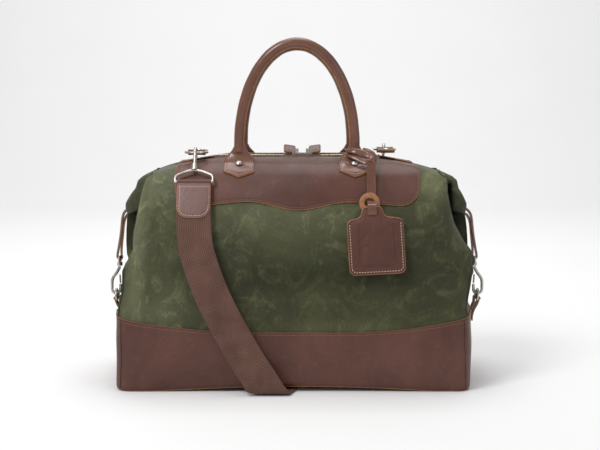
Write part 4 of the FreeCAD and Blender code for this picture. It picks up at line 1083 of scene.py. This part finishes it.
def build_yoke(side, name):
    """The leather over the shoulder: sewn along its waved edge and beside the zip."""
    bend = np.linspace(0, 0.75, 14)
    x = np.concatenate([YOKE_SHIFT - YOKE_HALF * np.cos(bend), np.linspace(-128, 131, 70),
                        YOKE_SHIFT + YOKE_HALF * np.cos(bend[::-1])])
    low = -skin.down_to(x, yoke_low(x))
    top_left = [(YOKE_SHIFT - YOKE_HALF, v) for v in np.linspace(-12.0, low[0], 12)]
    top_right = [(YOKE_SHIFT + YOKE_HALF, v) for v in np.linspace(low[-1], -12.0, 12)]
    outline = np.vstack([top_left[:-1], np.stack([x, low], 1), top_right[1:],
                         [(k, -9.5) for k in np.linspace(178, -175, 60)]])

    def place(u, v, height):
        return skin.at(u * -side, -v, height, side)[0]

    made = plate(f"yoke_{name}_leather", outline, place, 2.2, [LEATHER, EDGE], groove=0.25, fine=26,
                 parallel=True)
    stands_for(made, "leather", f"yoke_{name}")
    lower = inset(outline, STITCH_IN)[3:3 + len(x) + 18]
    upper = np.array([(k, -13.2) for k in np.linspace(-172, 174, 200)])
    for label, line in (("thread", lower), ("zip_thread", upper)):
        run = skin.at(line[:, 0] * -side, -line[:, 1], 0.1, side)
        stitches(f"yoke_{name}_{label}", [run], pitch=4.0)


build_yoke(-1, "front")
build_yoke(1, "back")

# ---------------------------------------------------------------- handles and anchors
LEG_X, HANDLE_Y, HINGE_Z, HANDLE_RISE = 85.5, 52.0, 359.0, 149.0


def build_anchor(leg, side, name):
    """A shield of leather on the yoke that flares up into the handle's leg."""
    corners = [(12, -46), (-12, -46), (-22.5, -57), (-23, -79), (0, -85.5), (23, -79), (22.5, -57)]
    shape = rounded(corners, [4, 4, 5, 3, 3, 3, 5], 6)
    outline = np.array([(x, -(skin.out_to(leg, -y))) for x, y in shape], float)

    def place(u, v, height):
        return skin.at(leg - side * u, -v, 3.0 + height, side)[0]

    made = plate(f"anchor_{name}", outline, place, 3.0, [HANDLE_LEATHER, EDGE], crown=0.5, groove=0.3)
    line = inset(outline, 3.8)
    keep = line[line[:, 1] < -(skin.out_to(leg, 60.0))]
    keep = keep[np.argsort(np.arctan2(keep[:, 0], -keep[:, 1] - float(skin.out_to(leg, 62.0))))]
    across = np.linspace(20.5, 6.5, 12)
    upright = -skin.out_to(np.full(12, leg), 66.5 - 0.42 * (across - 6.5))
    rows = [keep] + [np.stack([way * across, upright], 1) for way in (-1, 1)]
    runs = [skin.at(leg - side * row[:, 0], -row[:, 1], 3.5, side) for row in rows]
    stitches(f"anchor_{name}_thread", runs, CREAM_THREAD, pitch=3.6, length=2.6, radius=0.5)
    base = skin.at(leg, float(skin.out_to(leg, 66.0)), 3.0, side)[0]
    path = curve_through([
        (leg, side * 52, 356), (leg, side * 52, 349), (leg, side * 53.2, 343.5), (leg, side * 57, 338.2),
        (leg, side * 62, base[2] + 3.0), (leg, side * 69.5, base[2] - 3.2)])
    widths = np.interp(np.linspace(0, 5, len(path)), range(6), [8.2, 11.8, 16.8, 21.3, 22.3, 21.0])
    talls = np.interp(np.linspace(0, 5, len(path)), range(6), [8.0, 7.0, 5.4, 3.4, 2.0, 0.4])
    flare = tube(f"anchor_{name}_leg", path, np.stack([widths, talls], 1), [HANDLE_LEATHER],
                 sides=28, up=(0, 1, 0))
    return made


for side, label in ((-1, "front"), (1, "back")):
    shields = [build_anchor(leg, side, f"{label}_{which}")
               for leg, which in ((-LEG_X, "left"), (LEG_X, "right"))]
    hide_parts(f"anchors_{label}")

SEAM_ANGLE = math.radians(28)


def off_seam(angles):
    """Degrees between places round the handle and its raised seam."""
    return np.degrees(np.abs((angles - SEAM_ANGLE + math.pi) % (2 * math.pi) - math.pi))


def handle_profile(angles):
    """Round, with the raised seam where the rolled leather's two edges meet."""
    off = off_seam(angles)
    lip = 0.13 * np.exp(-((off - 5.5) / 3.6) ** 2)
    valley = 0.07 * np.exp(-((off - 19) / 6.0) ** 2)
    return 1 + lip - valley - 0.05 * np.exp(-(off / 2.0) ** 2)


def build_handle(side, name):
    """One rolled handle, sewn beside its seam."""
    angles = np.linspace(math.pi, 0, 150)
    arc = np.stack([LEG_X * np.cos(angles), np.full(150, side * HANDLE_Y),
                    HINGE_Z + HANDLE_RISE * np.sin(angles)], 1)
    foot = [(-LEG_X, side * HANDLE_Y, z) for z in (346, 350, 354, 357)]
    path = np.vstack([foot, arc, [(-x, y, z) for x, y, z in foot[::-1]]])
    sides = 72
    up = (0, -1, 0) if side < 0 else (0, 1, 0)
    wobble = 1 + 0.012 * np.sin(np.linspace(0, 40, len(path))) + 0.01 * np.sin(np.linspace(1, 93, len(path)))
    if side > 0:
        path = path[::-1]
    points = sweep(path, np.stack([8 * wobble, 8 * wobble], 1), sides, up, handle_profile)
    faces = tube_faces(len(path), sides)
    raw = off_seam(np.linspace(0, 2 * math.pi, sides, endpoint=False) + math.pi / sides) < 9.5
    indices = [int(raw[k % sides]) for k in range(len(faces) - 2)] + [0, 0]
    made = make(f"handle_{name}_grip", points, faces, [HANDLE_LEATHER, EDGE], None, indices)
    stands_for(made, "leather", f"handle_{name}", f"handle_core_{name}")
    beside = int(round((math.degrees(SEAM_ANGLE) + 20.0) / 360 * sides))
    line = points.reshape(len(path), sides, 3)[9:-9, beside]
    stitches(f"handle_{name}_thread", [(line, unit(line - path[9:-9]))], body=f"handle_{name}",
             pitch=4.2, length=3.0, radius=0.36)
    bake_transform(made)


build_handle(-1, "front")
build_handle(1, "back")


# ---------------------------------------------------------------- zip
def build_zip():
    """Two rows of cast teeth on their tapes."""
    shape = np.array([(-1, -1), (1, -1), (1, 1), (-1, 1)], float)
    for side, name in ((-1, "front"), (1, "back")):
        points, faces = [], []
        for x in np.arange(-124, 124.1, 4.0) + (1.0 if side > 0 else -1.0):
            start = len(points)
            for z, grow in ((333.4, 1.0), (340.2, 1.0), (340.9, 0.62)):
                for a, b in shape:
                    points.append((x + a * 1.15 * grow, side * (2.3 + b * 1.65 * grow), z))
            faces += grid_faces(3, 4, True, start)
            faces.append(tuple(start + 8 + j for j in range(4)))
        teeth = make(f"teeth_{name}", points, faces, [TEETH])
        teeth.data.set_sharp_from_angle(angle=math.radians(40))
        stands_for(teeth, "antique_nickel", f"zip_teeth_{name}")
        x, v = np.meshgrid(np.linspace(-188, 188, 120), np.array([3.6, 4.4, 7, 10, 14, 18]), indexing="ij")
        spots = skin.at(x, v, -4.0, side)[0]
        faces = turned(grid_faces(*x.shape), side < 0)
        tape = thicken(make(f"tape_{name}", spots.reshape(-1, 3), faces, [TAPE]), 0.9, rim=0, bevel=0)
        stands_for(tape, "zip_tape", f"zip_tape_{name}")


def build_pull_tabs():
    """The leather tabs of the two pulls, tilted up and rolled forward."""
    outline = rounded([(0, -8), (18, -8), (18, 8), (0, 8)], 3.0)
    for name, pivot, way in (("left", 0.2, -1), ("right", 15.8, 1)):
        tilt, roll = math.radians(8), math.radians(45)
        along = np.array([way * math.cos(tilt), 0, math.sin(tilt)])
        level = np.array([0, way, 0])
        across = level * math.cos(roll) + np.array([0, 0, way * math.sin(roll)])
        start = np.array([pivot, 0, 347.6]) + along * 2.5
        place = plane_place(start + np.cross(along, across) * 1.5, along, across)
        made = plate(f"pull_{name}_leather", outline, place, 3.0, [SHEEN_LEATHER, EDGE],
                     body=f"pull_{name}", crown=0.3, groove=0.2)
        stands_for(made, "leather", f"pull_tab_{name}")


build_zip()
build_pull_tabs()


# ---------------------------------------------------------------- leather strips
def strip(name, path, across, half, thick, body="root", materials=None):
    """A flat leather strip along a path, its raw edges showing."""
    path = curve_through(path)
    steps = np.linspace(-1, 1, 9)
    dome = 0.35 * (1 - steps ** 4)
    tangent = unit(np.gradient(path, axis=0))
    across = unit(np.asarray(across, float))
    out = unit(np.cross(tangent, across))
    points = path[:, None] + steps[None, :, None] * half * across + out[:, None] * dome[None, :, None]
    made = make(name, points.reshape(-1, 3), grid_faces(*points.shape[:2]), materials or [LEATHER, EDGE], body)
    thicken(made, thick, bevel=0.5)
    return made


def circle_path(centre, radius, first, last, right, up):
    """Points round part of a circle in the plane of right and up, angles in degrees."""
    centre, right, up = (np.asarray(v, float) for v in (centre, right, up))
    return [centre + radius * (math.cos(a) * right + math.sin(a) * up)
            for a in np.radians(np.linspace(first, last, 7))]


def build_ring_tabs():
    """The crest tabs: leather round the ring's bar, and a filler between its two runs."""
    for name in ("left", "right"):
        bar = (0, -42.0, 346.5)
        path = [(0, 5, 348.2), (0, -8, 348.7), (0, -24, 348.9), (0, -36, 349.6)] + [
            tuple(p) for p in circle_path(bar, 4.1, 78, -82, (0, -1, 0), (0, 0, 1))]
        under = [(0, -36, 341.6), (0, -24, 344.6), (0, -8, 345.6), (0, 5, 345.2)]
        made = strip(f"ring_tab_{name}_strap", at_station(name, path + under),
                     (-STATIONS[name][1], 0, 0), 12.5, 2.2)
        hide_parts(f"ring_tab_{name}")
        core = [(0, -34, 345.5), (0, -20, 345.9), (0, -6, 345.8), (0, 4, 345.4)]
        strip(f"ring_tab_{name}_filler", at_station(name, core), (STATIONS[name][1], 0, 0), 12.0, 2.0)


def round_bar(x, z, radius, first, last):
    """Points in the plane y = 0 round a bar, angles in degrees."""
    angles = np.radians(np.linspace(first, last, 8))
    return [(x + radius * math.cos(a), z + radius * math.sin(a)) for a in angles]


def build_side_straps():
    """At each end: the strap from the wing round the swivel's bar, and the loop that holds the ring."""
    for sign, name in ((-1, "left"), (1, "right")):
        outer = [(258.5, 257), (264.0, 252), (267.6, 243), (270.3, 220), (273.9, 198), (275.9, 188)]
        turn = round_bar(274, 182.5, 2.5, 10, -190)
        inner = [(272.2, 188), (271.9, 198), (269.7, 218), (267.2, 238), (262.5, 248), (257.5, 251)]
        path = [(sign * x, 0, z) for x, z in outer + turn + inner]
        made = strip(f"side_strap_{name}", path, (0.3, sign, 0), 6.5, 2.0)
        if sign < 0:
            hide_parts("side_straps")
        turn = round_bar(277.87, 118.16, 2.6, 0, 190)
        path = [(269.8, 84), (270.4, 93), (273.2, 102), (277.6, 110)] + turn + [
            (274.6, 111), (271.4, 103), (269.4, 94), (269.0, 84)]
        loop = strip(f"side_loop_{name}", [(sign * x, 0, z) for x, z in path], (0, -sign, 0), 9.0, 2.0)
        if sign < 0:
            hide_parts("side_loops")


build_ring_tabs()
build_side_straps()


# ---------------------------------------------------------------- luggage tag
def build_tag():
    """The luggage tag: its body, a raw leather disc behind its neck, and the strap to the knot."""
    up = np.array([0, 0.196, 0.981])
    out = np.array([0, -0.981, 0.196])
    middle = np.array([115, -123.8, 213.5])
    spin = math.radians(3.0)
    right = np.array([math.cos(spin), 0, 0]) + up * math.sin(spin)
    lean = up * math.cos(spin) - np.array([math.sin(spin), 0, 0])
    place = plane_place(middle + out * 1.6, right, lean)
    corners = [(-41, -40), (41, -40), (41, 40), (15, 44), (10.5, 59.5), (-16.5, 59.5), (-21, 44), (-41, 40)]
    outline = rounded(corners, [11, 11, 10, 9, 8, 8, 9, 10], 9)
    body = plate("tag_leather", outline, place, 3.4, [LEATHER, EDGE], body="tag", crown=1.2,
                 groove=0.35, fine=9)
    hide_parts("tag_body")
    normal = np.cross(right, lean)
    sewn = rounded([(-37, -36), (37, -36), (37, 60), (-37, 60)], [8, 8, 0.5, 0.5], 9)
    sewn = np.vstack([sewn, sewn[:1]])
    even = resample(sewn, 1.0)[0]
    even = even[even[:, 1] < 35]
    start = int(np.argmax(np.linalg.norm(np.roll(even, 1, 0) - even, axis=1)))
    even = np.roll(even, -start, 0)
    spots = place(even[:, 0], even[:, 1], np.full(len(even), 0.75))
    stitches("tag_thread", [(spots, np.broadcast_to(normal, spots.shape))], CREAM_THREAD, body="tag",
             pitch=4.0, length=2.9, radius=0.55)
    window = [(-25, 34), (-25, -20), (-23.5, -24.5), (-19, -27), (19, -27), (24, -24.5), (26, -20), (26, 34)]
    line = resample(window, 0.8)[0]
    spots = place(line[:, 0], line[:, 1], np.full(len(line), 1.3))
    emboss = tube("tag_emboss", spots, 0.5, [LEATHER], body="tag", sides=8, up=tuple(normal))
    # painted shade: a thin sheet of the dark zip tape cloth in the strap's slot stands for the shade inside it
    mouth = rounded([(-10.5, 43), (4.5, 43), (4.5, 50), (-10.5, 50)], 3.0, 6)
    slot_shadow_sheet = plate("tag_slot_mouth", mouth, plane_place(middle + out * 2.75, right, lean), 0.5,
                       [TAPE, TAPE], body="tag")
    angles = np.linspace(0, 2 * math.pi, 72, endpoint=False)
    hole = np.stack([7.6 * np.cos(angles), 6.0 * np.sin(angles) + 1.0], 1)
    rim = np.stack([15.2 * np.cos(angles), 15.2 * np.sin(angles)], 1)
    centre = middle + lean * 64.5 - right * 6 - out * 2.1
    rings = [(rim * 0.985, -2.0), (rim, -1.2), (rim, -0.7), (rim * 0.975, 0.0),
             (hole * 1.06, 0.0), (hole, -0.4), (hole, -2.0)]
    disc_place = plane_place(centre, right, lean)
    points = np.vstack([disc_place(r[:, 0], r[:, 1], np.full(72, h)) for r, h in rings])
    faces = grid_faces(len(rings), 72, True) + [(6 * 72 + j, 6 * 72 + (j + 1) % 72, (j + 1) % 72, j)
                                                 for j in range(72)]
    disc = make("tag_disc", points, faces, [EDGE], body="tag")
    stands_for(disc, "raw_edge", "tag_back")
    line = middle + np.array([-6, 0, 0])
    top = np.array([109.0, -79.0, 335.6])
    behind = line + up * 66 - out * 6.6
    path = [top + (-0.5, 4.0, 3.0), top, top * 0.66 + behind * 0.34, top * 0.33 + behind * 0.67 + out * 0.5,
            behind + up * 7 + out * 0.6, behind + up * 1.5 + out * 1.2, behind - up * 1.5 + out * 4.6,
            behind - up * 3.5 + out * 9.4, line + up * 57 + out * 5.8, line + up * 50 + out * 5.2,
            line + up * 46 + out * 3.4, line + up * 44.5 - out * 1.4]
    strap = strip("tag_strap_leather", path, (-1, 0, 0), 6.3, 2.1, body="tag",
                  materials=[HANDLE_LEATHER, EDGE])
    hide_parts("tag_strap")


def build_knot():
    """The tag strap's lark's head round the handle's leg."""
    centre = np.array([85.5, -52.0])
    for k, (level, phase) in enumerate(((340.5, 0.4), (347.0, 2.4))):
        angles = np.linspace(-math.pi / 2 - 4.6, -math.pi / 2 - 1.0, 60)
        path = np.stack([centre[0] + 10.6 * np.cos(angles), centre[1] + 10.6 * np.sin(angles),
                         level + 1.4 * np.sin(angles + phase)], 1)
        tube(f"knot_band_{k}", path, np.array([[1.5, 4.2]] * len(path)), [HANDLE_LEATHER],
                         sides=14)
    bands = {
        "knot_upper": [(75, -50, 350), (77, -58, 350.5), (84, -64.5, 349.8), (93, -67.5, 347.5),
                       (103, -70, 344.5), (109.5, -73.5, 341.5), (111, -77.5, 337.5), (109.5, -79.5, 333.5)],
        "knot_lower": [(75.5, -52, 344), (78, -60, 343.5), (84, -65.5, 341.5), (91, -69.5, 338.5),
                       (98, -73, 335.0), (103, -75.5, 333.0)],
        "knot_tuck": [(97, -63.5, 349.5), (104, -67.5, 348.5), (111, -71, 344.5), (113, -75, 338.5),
                      (110, -77, 334.0)],
    }
    for name, points in bands.items():
        path = curve_through(points)
        tube(name, path, np.array([[5.2, 1.5]] * len(path)), [HANDLE_LEATHER], sides=16,
                         up=(0.25, -1, 0.45))
    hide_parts("tag_knot")


build_tag()
build_knot()

# ---------------------------------------------------------------- metal and inner CAD nodes
for name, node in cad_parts.items():
    node.data.materials.clear()
    node.data.materials.append(NICKEL)


# ---------------------------------------------------------------- floor and light
def build_floor():
    """A pale sweep: floor in front, curving up behind."""
    radius, back, tall = 1.6, 2.6, 4.5
    profile = [(-5.0, 0.0), (0.0, 0.0), (back, 0.0)]
    profile += [(back + radius * math.sin(a), radius * (1 - math.cos(a)))
                for a in np.linspace(0, math.pi / 2, 24)[1:]]
    profile.append((back + radius, tall))
    points = [(x, y, z) for y, z in profile for x in np.linspace(-6, 6, 5)]
    finish = Finish("paper", Roughness=0.9)
    finish.colour(finish.ramp(finish.noise(3.0, 2.0), (0.0, (0.83, 0.83, 0.83)), (1.0, (0.86, 0.86, 0.86))))
    mesh = bpy.data.meshes.new("floor")
    mesh.from_pydata(points, [], grid_faces(len(profile), 5))
    mesh.materials.append(finish.material)
    mesh.shade_smooth()
    made = bpy.data.objects.new("floor", mesh)
    scene.collection.objects.link(made)


def add_light(name, place, aim, size, power):
    """A soft disk lamp at a place, turned to its aim."""
    lamp = bpy.data.lights.new(name, "AREA")
    lamp.shape = "DISK"
    lamp.size = size
    lamp.energy = power
    made = bpy.data.objects.new(name, lamp)
    scene.collection.objects.link(made)
    made.location = place
    made.rotation_euler = (Vector(aim) - Vector(place)).to_track_quat("-Z", "Y").to_euler()


build_floor()
add_light("key", (-1.3, -1.5, 2.3), (0, 0, 0.15), 1.1, 40)
add_light("fill", (1.9, -1.9, 1.3), (0, 0, 0.15), 1.8, 8)
add_light("top", (0.0, 0.3, 2.4), (0, 0, 0.2), 1.6, 22)
add_light("backdrop", (0.0, 1.4, 3.2), (0, 4.4, 1.4), 2.5, 60)
world = bpy.data.worlds.new("studio")
world.use_nodes = True
world.node_tree.nodes["Background"].inputs["Color"].default_value = (1, 1, 1, 1)
world.node_tree.nodes["Background"].inputs["Strength"].default_value = 0.45
scene.world = world
scene.view_settings.view_transform = "Standard"
